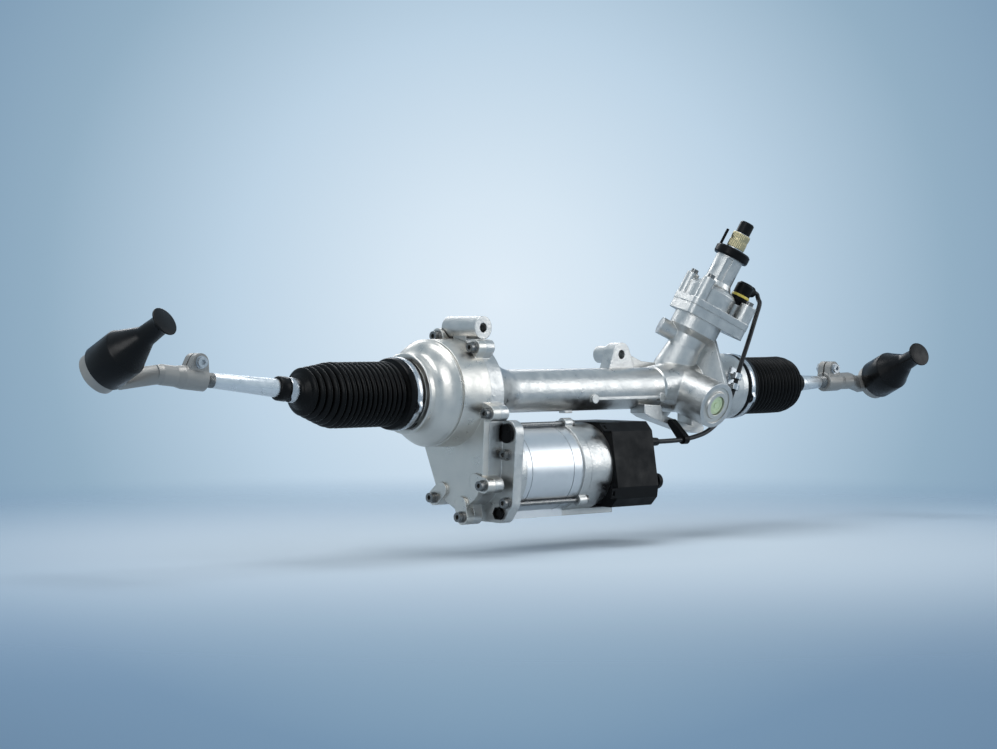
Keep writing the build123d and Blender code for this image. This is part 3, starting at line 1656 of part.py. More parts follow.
def make_tie_rod_end(rod_plane, stud, length):
    """Forged end: split sleeve on the rod thread, arm, ball socket with its collar."""
    near, far = length - sleeve_near, length - sleeve_far
    ear_middle = far + 11
    with BuildPart() as forging:
        add(
            turned(
                rod_plane,
                [
                    (far, 0), (far, sleeve_r - 1), (far + 1, sleeve_r), (far + 26, sleeve_r), (far + 34, sleeve_r - 1.5),
                    (near, sleeve_r - 1.5), (near + 6, sleeve_r - 3), (near + 6, 0),
                ],
            )
        )
        level_stud = (stud.x_dir - rod_plane.x_dir * rod_plane.x_dir.dot(stud.x_dir)).normalized()
        arm_start = Plane(
            origin=rod_plane.origin + rod_plane.x_dir * (near + 2), x_dir=level_stud, z_dir=rod_plane.x_dir
        )
        inward = (stud.x_dir * rod_plane.x_dir.dot(stud.x_dir) - rod_plane.x_dir).normalized()
        arm_end = Plane(
            origin=stud.origin + inward * arm_reach - stud.x_dir * arm_drop, x_dir=stud.x_dir, z_dir=inward * -1
        )
        with BuildSketch(arm_start):
            Circle(sleeve_r - 2)
        with BuildSketch(arm_end):
            RectangleRounded(arm_thick, 21, 5)
        loft()
        with BuildSketch(arm_end):
            RectangleRounded(arm_thick, 21, 5)
        extrude(amount=arm_reach - 10)
        add(
            turned(
                stud,
                [
                    (end_socket_low, 0), (end_socket_low, end_socket_r - 4), (end_socket_low + 3, end_socket_r),
                    (end_socket_high, end_socket_r), (end_socket_high, 0),
                ],
            )
        )
        # Clamp ears above the sleeve with the slot between them
        ears = Plane(
            origin=rod_plane.origin + rod_plane.x_dir * ear_middle, x_dir=rod_plane.x_dir, z_dir=rod_plane.y_dir
        )
        lift = -1 if ears.y_dir.Z < 0 else 1
        with BuildSketch(ears):
            with Locations((0, lift * clamp_bolt_up)):
                Circle(9)
            with Locations((-6, lift * 6), (8, lift * 6)):
                Circle(5)
            make_hull()
        extrude(amount=clamp_ear_half, both=True)
        add(
            turned(rod_plane, [(far - 1, 0), (far - 1, thread_r + running_gap), (near + 5, thread_r + running_gap),
                               (near + 5, 0)]),
            mode=Mode.SUBTRACT,
        )
        with BuildSketch(ears):
            with Locations((-2, lift * 16)):
                Rectangle(38, 24)
        extrude(amount=1.2, both=True, mode=Mode.SUBTRACT)
        with BuildSketch(ears):
            with Locations((0, lift * clamp_bolt_up)):
                Circle(clamp_bolt_r + bolt_clearance)
        extrude(amount=clamp_ear_half + 6, both=True, mode=Mode.SUBTRACT)
        # Ball seat room, open towards the stud
        with Locations(stud.origin):
            Sphere(end_seat_r + running_gap, mode=Mode.SUBTRACT)
        add(
            turned(stud, [(0, 0), (0, 13), (6, 13), (end_socket_high + 1, 14.5), (end_socket_high + 1, 0)]),
            mode=Mode.SUBTRACT,
        )
    return forging.part


def make_clamp_bolt(rod_plane, length):
    ears = Plane(
        origin=rod_plane.origin + rod_plane.x_dir * (length - sleeve_far + 11), x_dir=rod_plane.x_dir,
        z_dir=rod_plane.y_dir,
    )
    lift = -1 if ears.y_dir.Z < 0 else 1
    centre = ears.origin + ears.y_dir * (lift * clamp_bolt_up)
    facing = ears.z_dir * (-1 if ears.z_dir.Y > 0 else 1)
    head = Plane(origin=centre + facing * clamp_ear_half, x_dir=rod_plane.x_dir, z_dir=facing)
    nut = Plane(origin=centre - facing * clamp_ear_half, x_dir=rod_plane.x_dir, z_dir=facing * -1)
    with BuildPart() as piece:
        add(bolt(head, 6.5, 5, clamp_bolt_r, 2 * clamp_ear_half))
        with BuildSketch(nut):
            RegularPolygon(7, 6)
        extrude(amount=5)
    return piece.part


def make_ball_stud(stud):
    with BuildPart() as piece:
        add(
            turned(
                stud,
                [
                    (0, 0), (0, 7), (15, 7), (17, 9.5), (19, 9.5), (stud_length - 26, stud_r - 1),
                    (stud_length - 26, stud_thread_r), (stud_length - 2, stud_thread_r), (stud_length, 4.5),
                    (stud_length, 0),
                ],
            )
        )
        with Locations(stud.origin):
            Sphere(end_ball_r)
    return piece.part


def make_transport_cap(stud):
    """Thin cap over the stud: wide mouth, cone, neck and a flared tip."""
    outer = [
        (cap_rim, cap_r), (cap_shoulder - 3, cap_r - 0.6), (cap_shoulder, cap_r - 2.5), (cap_waist, 12),
        (cap_neck - 3, 9.2), (cap_neck, 15), (cap_neck + 2, 15),
    ]
    inner = [
        (cap_neck + 2, 0), (cap_neck - 2, 0), (cap_neck - 3, 9.2 - cap_wall), (cap_waist, 12 - cap_wall),
        (cap_shoulder, cap_r - 2.5 - cap_wall), (cap_shoulder - 3, cap_r - 0.6 - cap_wall), (cap_rim, cap_r - cap_wall),
    ]
    return turned(stud, outer + inner)


save(make_gear_housing(), "gear_housing")
save(make_nut_housing(), "nut_housing")
save(make_case_bolts(), "case_bolts")
save(make_motor_bolts(), "motor_bolts")
save(make_case_plugs(), "case_plugs")
save(make_ball_nut(), "ball_nut")
save(make_nut_bearing(), "nut_bearing")
save(make_bearing_balls(), "bearing_balls")
save(make_driven_pulley(), "driven_pulley")
save(make_motor_pulley(), "motor_pulley")
save(make_toothed_belt(), "toothed_belt")
save(make_motor_shaft(), "motor_shaft")
save(make_stator(), "stator")
save(make_shaft_bearings(), "shaft_bearings")
save(make_motor_housing(), "motor_housing")
save(make_motor_end_ring(), "motor_end_ring")
save(make_ecu_cover(), "ecu_cover")
save(make_ecu_board(), "ecu_board")
save(make_ecu_grommet(), "ecu_grommet")
save(make_vent_cap(), "vent_cap")
save(make_sensor_housing(), "sensor_housing")
save(make_sensor_screws(), "sensor_screws")
save(make_neck_collar(), "neck_collar")
save(make_input_shaft(), "input_shaft")
save(make_shaft_cap(), "shaft_cap")
save(make_torsion_bar(), "torsion_bar")
save(make_torque_sensor(), "torque_sensor")
save(make_shaft_seal(), "shaft_seal")
save(make_sensor_connector(), "sensor_connector")
save(make_sensor_lead(), "sensor_lead")
save(make_lead_clips(), "lead_clip")
save(make_lead_bracket(), "lead_bracket")
save(make_rack_bush(), "rack_bush")
save(make_rack_yoke(), "rack_yoke")
save(make_yoke_spring(), "yoke_spring")
save(make_yoke_plug(), "yoke_plug")

sides = (
    ("left", -1, left_rod_line, left_rod_length, left_stud_roll, small_clamp_left_x, nut_spigot_x, left_ribs, 4),
    ("right", 1, right_rod_line, right_rod_length, right_stud_roll, small_clamp_right_x, cup_x, right_ribs, 1),
)
for name, side, rod_plane, length, turn, clamp_x, spigot_x, ribs, small_ribs in sides:
    stud = stud_plane(side, rod_plane, length, turn)
    inner_line = Plane(origin=rod_plane.origin, x_dir=(side, 0, 0), z_dir=(0, -1, 0))
    small_at = (clamp_x - rod_plane.origin.X) / rod_plane.x_dir.X
    sleeve_out = spigot_r + running_gap + bellows_wall
    save(make_joint_socket(rod_plane, side), name + "_joint_socket")
    save(ball_shell(inner_line, ball_r + running_gap, ball_r + seat_wall, 6), name + "_ball_seat")
    save(make_tie_rod(rod_plane, length), name + "_tie_rod")
    save(make_bellows(side, rod_plane, clamp_x, spigot_x, ribs, small_ribs), name + "_bellows")
    band_start = spigot_x - side * 13 if side > 0 else spigot_x + 6
    save(clamp(rack_line, band_start, band_start + 7, sleeve_out + 0.02), name + "_big_clamp")
    small_r = rod_r + running_gap + bellows_wall + 0.02
    save(clamp(rod_plane, small_at - 3, small_at + 3, small_r), name + "_small_clamp")
    save(make_tie_rod_end(rod_plane, stud, length), name + "_tie_rod_end")
    save(make_clamp_bolt(rod_plane, length), name + "_clamp_bolt")
    save(ball_shell(stud, end_ball_r + running_gap, end_seat_r, 4), name + "_end_seat")
    save(make_ball_stud(stud), name + "_ball_stud")
    save(make_transport_cap(stud), name + "_transport_cap")
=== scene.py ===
"""Steering rack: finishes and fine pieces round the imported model."""
import math

import bmesh
import bpy
import numpy as np
from bpy.props import FloatProperty, FloatVectorProperty, IntProperty, PointerProperty
from bpy.types import Operator, Panel, PropertyGroup
from mathutils import Matrix, Vector


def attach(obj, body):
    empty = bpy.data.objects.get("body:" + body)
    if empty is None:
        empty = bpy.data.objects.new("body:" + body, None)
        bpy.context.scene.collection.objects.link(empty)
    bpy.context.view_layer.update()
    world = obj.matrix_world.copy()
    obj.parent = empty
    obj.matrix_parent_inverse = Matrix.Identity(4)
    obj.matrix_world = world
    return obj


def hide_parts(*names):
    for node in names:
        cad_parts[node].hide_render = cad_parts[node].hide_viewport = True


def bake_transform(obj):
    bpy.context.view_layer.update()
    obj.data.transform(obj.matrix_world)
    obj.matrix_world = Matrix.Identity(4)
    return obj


bl_info = {
    "name": "Steering rack",
    "version": (1, 0, 0),
    "blender": (4, 5, 0),
    "location": "View3D > Sidebar > Steering rack",
    "description": "Dresses the steering rack with its finishes, bellows, splines, threads and stage",
    "category": "Object",
}

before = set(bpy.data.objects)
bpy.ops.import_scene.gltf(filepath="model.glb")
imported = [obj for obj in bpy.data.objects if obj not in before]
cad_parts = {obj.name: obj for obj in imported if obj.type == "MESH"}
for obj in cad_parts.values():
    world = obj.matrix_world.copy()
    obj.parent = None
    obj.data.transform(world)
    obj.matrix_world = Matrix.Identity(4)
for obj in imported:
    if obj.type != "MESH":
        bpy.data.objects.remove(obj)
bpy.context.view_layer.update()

MM = 0.001
AROUND = 96  # points round a turned surface
BOOT_AROUND = 112  # points round a boot
RACK_POINT = np.array([0.0, -26.0, -39.0])
PINION_LEAN = math.radians(21.0)
TOWER_ROLL = math.radians(18.0)


def linear(code):
    """Linear colour of an sRGB hex value."""
    channels = [int(code[i:i + 2], 16) / 255 for i in (1, 3, 5)]
    return tuple(c / 12.92 if c <= 0.04045 else ((c + 0.055) / 1.055) ** 2.4 for c in channels)


class RackSettings(PropertyGroup):
    """Sizes and colours of the steering rack that a user may change."""

    fold_crest: FloatProperty(
        name="Fold crest", description="Outer radius of the bellows folds", default=0.0345,
        unit="LENGTH", subtype="DISTANCE",
    )
    fold_depth: FloatProperty(
        name="Fold depth", description="Depth of one fold of the bellows", default=0.0052,
        unit="LENGTH", subtype="DISTANCE",
    )
    boot_wall: FloatProperty(
        name="Boot wall", description="Wall thickness of the bellows", default=0.0016,
        unit="LENGTH", subtype="DISTANCE",
    )
    spline_count: IntProperty(
        name="Splines", description="Number of splines round the input shaft", default=30, min=12, max=60,
    )
    thread_pitch: FloatProperty(
        name="Thread pitch", description="Pitch of the tie rod thread", default=0.0015,
        unit="LENGTH", subtype="DISTANCE",
    )
    casting_colour: FloatVectorProperty(
        name="Casting", description="Colour of the cast light alloy", subtype="COLOR",
        default=linear("#C6C5C2"),
    )
    can_colour: FloatVectorProperty(
        name="Motor can", description="Colour of the drawn motor can", subtype="COLOR",
        default=linear("#DCDDDE"),
    )
    rubber_colour: FloatVectorProperty(
        name="Rubber", description="Colour of the bellows rubber", subtype="COLOR",
        default=linear("#060606"),
    )
    plastic_colour: FloatVectorProperty(
        name="Plastic", description="Colour of the covers and caps", subtype="COLOR",
        default=linear("#070708"),
    )
    forging_colour: FloatVectorProperty(
        name="Forging", description="Colour of the tie rod ends", subtype="COLOR",
        default=linear("#9B9995"),
    )
    floor_colour: FloatVectorProperty(
        name="Floor", description="Colour of the floor under the rack", subtype="COLOR",
        default=linear("#C3D2DE"),
    )
    # Deeper floor colour away from the rack: the painted falloff of a pool of light
    floor_painted_falloff_colour: FloatVectorProperty(
        name="Floor edge", description="Colour of the floor towards its edge", subtype="COLOR",
        default=linear("#88A3BC"),
    )


def settings():
    """The settings that the panel shows."""
    return bpy.context.scene.steering_rack


# Materials

def add_node(tree, kind, inputs=None, **values):
    """Adds a node, sets its values and its inputs; an input that is a socket is linked."""
    node = tree.nodes.new(kind)
    for key, value in values.items():
        setattr(node, key, value)
    for key, value in (inputs or {}).items():
        if isinstance(value, bpy.types.NodeSocket):
            tree.links.new(value, node.inputs[key])
        else:
            node.inputs[key].default_value = value
    return node


def rgba(colour):
    """Colour with full cover, as a shader socket takes it."""
    return (colour[0], colour[1], colour[2], 1.0)


def start_material(name):
    """Empty material, its node tree and the place on the object that its patterns follow."""
    material = bpy.data.materials.new(name)
    material.use_nodes = True
    tree = material.node_tree
    tree.nodes.clear()
    place = add_node(tree, "ShaderNodeTexCoord").outputs["Object"]
    return material, tree, place


def finish_material(tree, shader):
    """Links a shader to the material's output."""
    add_node(tree, "ShaderNodeOutputMaterial", {"Surface": shader.outputs[0]})


def grained(name, colour, metallic, roughness, grain_mm, grain_depth, cloud_mm, cloud,
            coat=0.0, edge_mm=0.0, edge_highlight=0.0, gleam=0.5):
    """Surface with grain as bump, broad soft clouds in colour and roughness, and rounded edges with a painted
    highlight.

    Lengths are in mm; cloud and the painted edge highlight are shares by which the colour changes. The
    photograph's camera shows about 1.1 mm a pixel, so grain finer than 2 mm is drawn at 0.5 to 1.2 mm to
    soften reflections only.
    """
    material, tree, place = start_material(name)
    swing = 0.12
    grain = add_node(
        tree, "ShaderNodeTexNoise",
        {"Vector": place, "Scale": 1.0 / (grain_mm * MM), "Detail": 3.0, "Roughness": 0.6},
    )
    clouds = add_node(
        tree, "ShaderNodeTexNoise",
        {"Vector": place, "Scale": 1.0 / (cloud_mm * MM), "Detail": 4.0, "Roughness": 0.55},
    )
    dark = tuple(c * (1.0 - cloud) for c in colour)
    light = tuple(min(1.0, c * (1.0 + cloud * 0.6)) for c in colour)
    tint = add_node(
        tree, "ShaderNodeMix", {0: clouds.outputs["Fac"], 6: rgba(dark), 7: rgba(light)}, data_type="RGBA"
    ).outputs[2]
    sheen = add_node(
        tree, "ShaderNodeMapRange",
        {"Value": clouds.outputs["Fac"], "From Min": 0.3, "From Max": 0.7,
         "To Min": max(0.03, roughness - swing), "To Max": min(1.0, roughness + swing)},
    ).outputs["Result"]
    relief = {"Height": grain.outputs["Fac"], "Strength": 0.6, "Distance": grain_depth * MM}
    if edge_mm:
        round_edge = add_node(tree, "ShaderNodeBevel", {"Radius": edge_mm * MM}, samples=6).outputs["Normal"]
        relief["Normal"] = round_edge
        flat = add_node(tree, "ShaderNodeNewGeometry").outputs["Normal"]
        bend = add_node(tree, "ShaderNodeVectorMath", {0: round_edge, 1: flat}, operation="DOT_PRODUCT")
        # Painted highlight: the colour turns paler wherever the rounded edge bends the normal, on every edge
        # alike
        edge_highlight_share = add_node(
            tree, "ShaderNodeMapRange",
            {"Value": bend.outputs["Value"], "From Min": 0.98, "From Max": 0.8, "To Max": edge_highlight},
        ).outputs["Result"]
        pale = tuple(min(1.0, c * 1.25 + 0.05) for c in colour)
        tint = add_node(tree, "ShaderNodeMix", {0: edge_highlight_share, 6: tint, 7: rgba(pale)}, data_type="RGBA").outputs[2]
    bump = add_node(tree, "ShaderNodeBump", relief)
    shader = add_node(
        tree, "ShaderNodeBsdfPrincipled",
        {"Base Color": tint, "Metallic": metallic, "Roughness": sheen, "Normal": bump.outputs["Normal"],
         "Coat Weight": coat, "Coat Roughness": 0.25, "Specular IOR Level": gleam},
    )
    finish_material(tree, shader)
    return material


def machined(name, colour, roughness, line_mm, depth):
    """Turned or drawn metal: fine tool lines square to X, with faint stains; line spacing and depth in mm."""
    material, tree, place = start_material(name)
    stain_mm = 9.0
    wave_to_line = 20.0
    lines = add_node(
        tree, "ShaderNodeTexWave",
        {"Vector": place, "Scale": 1.0 / (line_mm * MM * wave_to_line), "Distortion": 0.4, "Detail": 2.0},
        bands_direction="X", wave_profile="SIN",
    )
    stain = add_node(
        tree, "ShaderNodeTexNoise",
        {"Vector": place, "Scale": 1.0 / (stain_mm * MM), "Detail": 5.0, "Roughness": 0.6},
    )
    rough = add_node(
        tree, "ShaderNodeMapRange",
        {"Value": stain.outputs["Fac"], "To Min": max(0.05, roughness - 0.1), "To Max": roughness + 0.12},
    )
    tint = add_node(
        tree, "ShaderNodeMix",
        {0: stain.outputs["Fac"], 6: rgba(tuple(c * 0.86 for c in colour)), 7: rgba(colour)},
        data_type="RGBA",
    )
    bump = add_node(
        tree, "ShaderNodeBump", {"Height": lines.outputs["Fac"], "Strength": 0.2, "Distance": depth * MM}
    )
    shader = add_node(
        tree, "ShaderNodeBsdfPrincipled",
        {"Base Color": tint.outputs[2], "Metallic": 1.0, "Roughness": rough.outputs["Result"],
         "Normal": bump.outputs["Normal"]},
    )
    finish_material(tree, shader)
    return material


palette = {}


def make_palette():
    """Names the real finishes once; every piece takes its material from here."""
    s = settings()
    # Die cast aluminium, shot blasted: a light satin skin whose pits spread the lamps' reflections. Real pits
    # are about 0.5 mm wide; 3 mm is the least that shows in the render.
    palette["cast_aluminium"] = grained(
        "Die_cast_aluminium", s.casting_colour, 1.0, 0.38, 3.0, 0.55, 11.0, 0.24, edge_mm=1.4, edge_highlight=0.5
    )
    # Cast aluminium of the ball nut cover, turned on its round faces: brighter, with a slight warmth and
    # shallower pits, drawn wider than real ones for the same reason
    palette["nut_cover_aluminium"] = grained(
        "Turned_cast_aluminium", linear("#CFCBC4"), 1.0, 0.36, 2.4, 0.22, 16.0, 0.16, edge_mm=1.2, edge_highlight=0.5
    )
    # Drawn aluminium can: smooth and bluish with faint draw marks
    palette["drawn_aluminium"] = machined("Drawn_aluminium", s.can_colour, 0.34, 0.9, 0.004)
    # Zinc plated steel: bolts and bands, bright but slightly clouded
    palette["zinc_plated_steel"] = grained(
        "Zinc_plated_steel", linear("#C4C6C8"), 1.0, 0.28, 0.6, 0.01, 4.0, 0.15
    )
    # Galvanised drawn bar of the tie rods: pale, even satin without tool lines
    palette["galvanised_steel"] = grained(
        "Galvanised_drawn_steel", linear("#DCDEDF"), 1.0, 0.36, 1.2, 0.012, 8.0, 0.06
    )
    # Phosphated steel of the socket screws: mid grey with an oil film over turned heads
    palette["phosphated_steel"] = grained(
        "Phosphated_steel", linear("#7C7C7B"), 1.0, 0.32, 0.6, 0.015, 5.0, 0.25, edge_mm=0.5, edge_highlight=0.6
    )
    # Turned bearing steel for rods and shafts: tight tool lines
    palette["turned_steel"] = machined("Turned_steel", linear("#D2D3D4"), 0.30, 0.35, 0.006)
    # Forged steel with a grey zinc flake coat: even, chalky, slightly rough
    palette["zinc_flake_coat"] = grained(
        "Zinc_flake_coated_forging", s.forging_colour, 0.6, 0.46, 1.0, 0.05, 12.0, 0.1, edge_mm=0.9, edge_highlight=0.4
    )
    # Chloroprene rubber: near black with a soft waxy sheen on the crests
    palette["chloroprene"] = grained(
        "Chloroprene_rubber", s.rubber_colour, 0.0, 0.36, 0.8, 0.008, 9.0, 0.2, gleam=0.14
    )
    # Glass filled nylon: black with a fine spark eroded grain
    palette["glass_filled_nylon"] = grained(
        "Glass_filled_nylon", s.plastic_colour, 0.0, 0.46, 0.8, 0.015, 16.0, 0.15,
        edge_mm=0.8, edge_highlight=0.08, gleam=0.12,
    )
    # Polyethylene of the transport caps: smooth black with a soft gloss
    palette["polyethylene"] = grained(
        "Black_polyethylene", linear("#060607"), 0.0, 0.33, 0.9, 0.006, 14.0, 0.15, gleam=0.2
    )
    # Acetal of seats and bushes: milky white
    palette["acetal"] = grained("Natural_acetal", linear("#E6E4DC"), 0.0, 0.35, 0.6, 0.006, 10.0, 0.05)
    # Polypropylene sealing cap in the yoke plug: pale green, waxy
    palette["sealing_plastic"] = grained(
        "Pale_green_polypropylene", linear("#CFE0B8"), 0.0, 0.4, 0.5, 0.006, 6.0, 0.06
    )
    # Nylon lock ring of the connector: yellow, soft sheen
    palette["yellow_nylon"] = grained("Yellow_nylon", linear("#D8C65A"), 0.0, 0.4, 0.5, 0.006, 6.0, 0.06)
    # Fresh broached steel of the splines under an oil film: brown gold tint
    palette["spline_steel"] = grained(
        "Broached_spline_steel", linear("#BDB08C"), 1.0, 0.34, 0.9, 0.004, 7.0, 0.08
    )
    # Circuit board under lacquer: deep green, glossy
    palette["circuit_board"] = grained(
        "Lacquered_circuit_board", linear("#1E5B3A"), 0.0, 0.35, 0.6, 0.01, 8.0, 0.2, coat=0.3
    )
    # Stacked motor iron with its varnish: brown, half metallic
    palette["varnished_iron"] = grained(
        "Varnished_motor_iron", linear("#5A4A40"), 0.6, 0.45, 0.5, 0.02, 6.0, 0.2
    )
    # Vinyl sleeve over the sensor wires: black, soft sheen
    palette["vinyl"] = grained("Vinyl_sleeve", linear("#121214"), 0.0, 0.38, 0.8, 0.008, 5.0, 0.15, gleam=0.3)


NODE_FINISH = {
    "gear_housing": "cast_aluminium", "nut_housing": "nut_cover_aluminium",
    "sensor_housing": "cast_aluminium", "motor_end_ring": "cast_aluminium",
    "motor_housing": "drawn_aluminium", "case_bolts": "phosphated_steel", "motor_bolts": "phosphated_steel",
    "sensor_screws": "phosphated_steel", "case_plugs": "chloroprene",
    "ball_nut": "turned_steel", "nut_bearing": "turned_steel", "bearing_balls": "turned_steel",
    "driven_pulley": "turned_steel", "motor_pulley": "turned_steel", "toothed_belt": "chloroprene",
    "motor_shaft": "turned_steel", "stator": "varnished_iron", "shaft_bearings": "turned_steel",
    "ecu_cover": "glass_filled_nylon", "ecu_board": "circuit_board", "ecu_grommet": "chloroprene",
    "vent_cap": "glass_filled_nylon", "neck_collar": "chloroprene", "input_shaft": "turned_steel",
    "shaft_cap": "polyethylene", "torsion_bar": "turned_steel", "pinion": "turned_steel",
    "shaft_seal": "chloroprene", "torque_sensor": "glass_filled_nylon",
    "sensor_connector": "glass_filled_nylon", "sensor_lead": "vinyl", "lead_clip": "glass_filled_nylon",
    "lead_bracket": "zinc_plated_steel", "rack_bar": "turned_steel", "rack_bush": "acetal",
    "rack_yoke": "cast_aluminium", "yoke_spring": "turned_steel", "yoke_plug": "nut_cover_aluminium",
}
SIDE_FINISH = {
    "joint_socket": "turned_steel", "ball_seat": "acetal", "tie_rod": "turned_steel",
    "bellows": "chloroprene", "big_clamp": "zinc_plated_steel", "small_clamp": "zinc_plated_steel",
    "tie_rod_end": "zinc_flake_coat", "clamp_bolt": "zinc_plated_steel", "end_seat": "acetal",
    "ball_stud": "turned_steel", "transport_cap": "polyethylene",
}


# Surfaces worked out as arrays

def skin(name, points, finish, body, wrap_rows=False):
    """Mesh from a grid of points whose rows close round.

    With wrap_rows the last row joins the first; without it the first and last rows shrink to a point.
    """
    rows, columns = points.shape[:2]
    down = np.arange(rows if wrap_rows else rows - 1)
    across = np.arange(columns)[None, :]
    next_across = (across + 1) % columns
    row_start = (down * columns)[:, None]
    next_start = (((down + 1) % rows) * columns)[:, None]
    here = (row_start + across).ravel()
    beside = (row_start + next_across).ravel()
    below = (next_start + across).ravel()
    below_beside = (next_start + next_across).ravel()
    faces = np.stack([here, beside, below_beside, below], axis=1)
    mesh = bpy.data.meshes.new(name)
    mesh.from_pydata((points.reshape(-1, 3) * MM).tolist(), [], faces.tolist())
    work = bmesh.new()
    work.from_mesh(mesh)
    bmesh.ops.remove_doubles(work, verts=work.verts, dist=1e-7)
    bmesh.ops.dissolve_degenerate(work, edges=work.edges, dist=1e-8)
    bmesh.ops.recalc_face_normals(work, faces=work.faces)
    work.to_mesh(mesh)
    work.free()
    mesh.polygons.foreach_set("use_smooth", np.full(len(mesh.polygons), True))
    mesh.set_sharp_from_angle(angle=math.radians(48))
    piece = bpy.data.objects.new(name, mesh)
    bpy.context.scene.collection.objects.link(piece)
    mesh.materials.append(palette[finish])
    if body:
        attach(piece, body)
    return piece


def across_pair(axis):
    """Two unit vectors square to an axis and to each other."""
    axis = np.asarray(axis, float) / np.linalg.norm(axis)
    helper = np.array([0.0, 0.0, 1.0]) if abs(axis[2]) < 0.9 else np.array([1.0, 0.0, 0.0])
    side = np.cross(helper, axis)
    side /= np.linalg.norm(side)
    return axis, side, np.cross(axis, side)


def turned_piece(name, origin, axis, profile, finish, body, closed=False):
    """Surface turned about an axis from (along, radius) pairs; closed joins the last pair to the first.

    Point = origin + along * axis + radius * (cos a * side + sin a * up), one row per pair.
    """
    axis, side, up = across_pair(axis)
    angle = np.linspace(0, 2 * np.pi, AROUND, endpoint=False)
    around = np.cos(angle)[:, None] * side + np.sin(angle)[:, None] * up
    along, radius = (np.array(column, float)[:, None, None] for column in zip(*profile))
    points = np.asarray(origin, float) + along * axis + radius * around[None, :, :]
    return skin(name, points, finish, body, wrap_rows=closed)


def ridged_piece(name, origin, axis, along, angle, radius, inner, finish, body):
    """Closed ring about an axis whose radius is given at each (along, angle); its ends step down to inner."""
    axis, side, up = across_pair(axis)
    around = np.cos(angle)[:, None] * side + np.sin(angle)[:, None] * up
    outer = origin + along[:, None, None] * axis + radius[:, :, None] * around[None, :, :]
    low = origin + along[0] * axis + inner * around[None, :, :]
    high = origin + along[-1] * axis + inner * around[None, :, :]
    skin(name, np.concatenate([low, outer, high]), finish, body, wrap_rows=True)


# Places of the parts, from the same sizes as the solids

def rod_line(side, joint_x, up, back):
    """Inner ball centre and the tie rod's outward direction."""
    out = np.array([side * math.cos(math.radians(back)), math.sin(math.radians(back)), 0.0])
    out = out * math.cos(math.radians(up)) + np.array([0.0, 0.0, math.sin(math.radians(up))])
    return RACK_POINT + np.array([joint_x, 0.0, 0.0]), out


def stud_line(side, joint, out, length, turn):
    """Outer ball centre and the stud's direction."""
    tilt = math.radians(12.0)
    front = np.array([0.0, -math.cos(math.radians(turn)), math.sin(math.radians(turn))])
    return joint + out * length, front * math.cos(tilt) - np.array([side * math.sin(tilt), 0.0, 0.0])


PRESS = np.array([0.0, -math.cos(TOWER_ROLL), -math.sin(TOWER_ROLL)])
TOWER = np.array([
    math.sin(PINION_LEAN),
    -math.sin(TOWER_ROLL) * math.cos(PINION_LEAN),
    math.cos(TOWER_ROLL) * math.cos(PINION_LEAN),
])
PINION_X = 86.0
TOOTH_FLAT = 9.5
TOOTH_MODULE = 2.1
TOOTH_COUNT = 8
PROFILE_SHIFT = 0.3
MESH_DISTANCE = TOOTH_FLAT + TOOTH_MODULE * TOOTH_COUNT / 2 - TOOTH_MODULE * (1 - PROFILE_SHIFT)
RACK_CROSS = RACK_POINT + np.array([PINION_X, 0.0, 0.0])
PINION_CROSS = RACK_CROSS - PRESS * MESH_DISTANCE

# Each side: way along X, inner ball and rod, ball to ball length, turn of the stud in degrees, places of the
# small clamp and of the housing's spigot along X, folds of the boot and how many of them grow smaller
SIDES = {
    "left": {"side": -1, "rod": rod_line(-1, -443.0, 6.5, 8.0), "length": 270.0, "turn": 32.0,
             "clamp": -507.0, "spigot": -370.0, "folds": 17, "small": 4},
    "right": {"side": 1, "rod": rod_line(1, 227.0, 1.0, 0.0), "length": 249.0, "turn": 22.5,
              "clamp": 304.0, "spigot": 192.0, "folds": 14, "small": 1},
}


# Bellows

FOLD_ROWS = 14  # rows of points in one fold
FOLDS_FROM_SPIGOT = 4.0
FOLDS_FROM_CLAMP = 18.0
FOLD_SHRINK = 2.1  # what each small fold loses in radius, mm


def fold_profile(part):
    """Outer radius along the boot: each fold is a rounded crest, r = valley + depth * |sin|^0.75, and the
    small folds at the end shrink towards the rod."""
    s = settings()
    crest, depth = s.fold_crest / MM, s.fold_depth / MM
    side, folds, small = part["side"], part["folds"], part["small"]
    start = part["spigot"] + side * FOLDS_FROM_SPIGOT
    end = part["clamp"] - side * FOLDS_FROM_CLAMP
    t = np.linspace(0.0, folds, folds * FOLD_ROWS + 1)
    index = np.minimum(np.floor(t), folds - 1)
    left = folds - index
    shrink = np.where(left > small, 0.0, FOLD_SHRINK * (small + 1 - left))
    next_shrink = np.where(left - 1 > small, 0.0, FOLD_SHRINK * (small + 2 - left))
    blend = t - index
    shrink = shrink * (1 - blend) + np.minimum(next_shrink, FOLD_SHRINK * (small + 1)) * blend
    wave = np.abs(np.sin(np.pi * t)) ** 0.75
    x = start + (end - start) * t / folds
    return x, crest - shrink - depth + depth * wave


def boot_rows(centres, directions, radius):
    """Circles of the given radius round each centre, square to each direction, rows along the boot."""
    angle = np.linspace(0, 2 * np.pi, BOOT_AROUND, endpoint=False)
    up = np.array([0.0, 0.0, 1.0])
    side = np.cross(up, directions)
    side /= np.linalg.norm(side, axis=1)[:, None]
    top = np.cross(directions, side)
    ring = np.cos(angle)[None, :, None] * side[:, None, :] + np.sin(angle)[None, :, None] * top[:, None, :]
    return centres[:, None, :] + radius[:, None, None] * ring


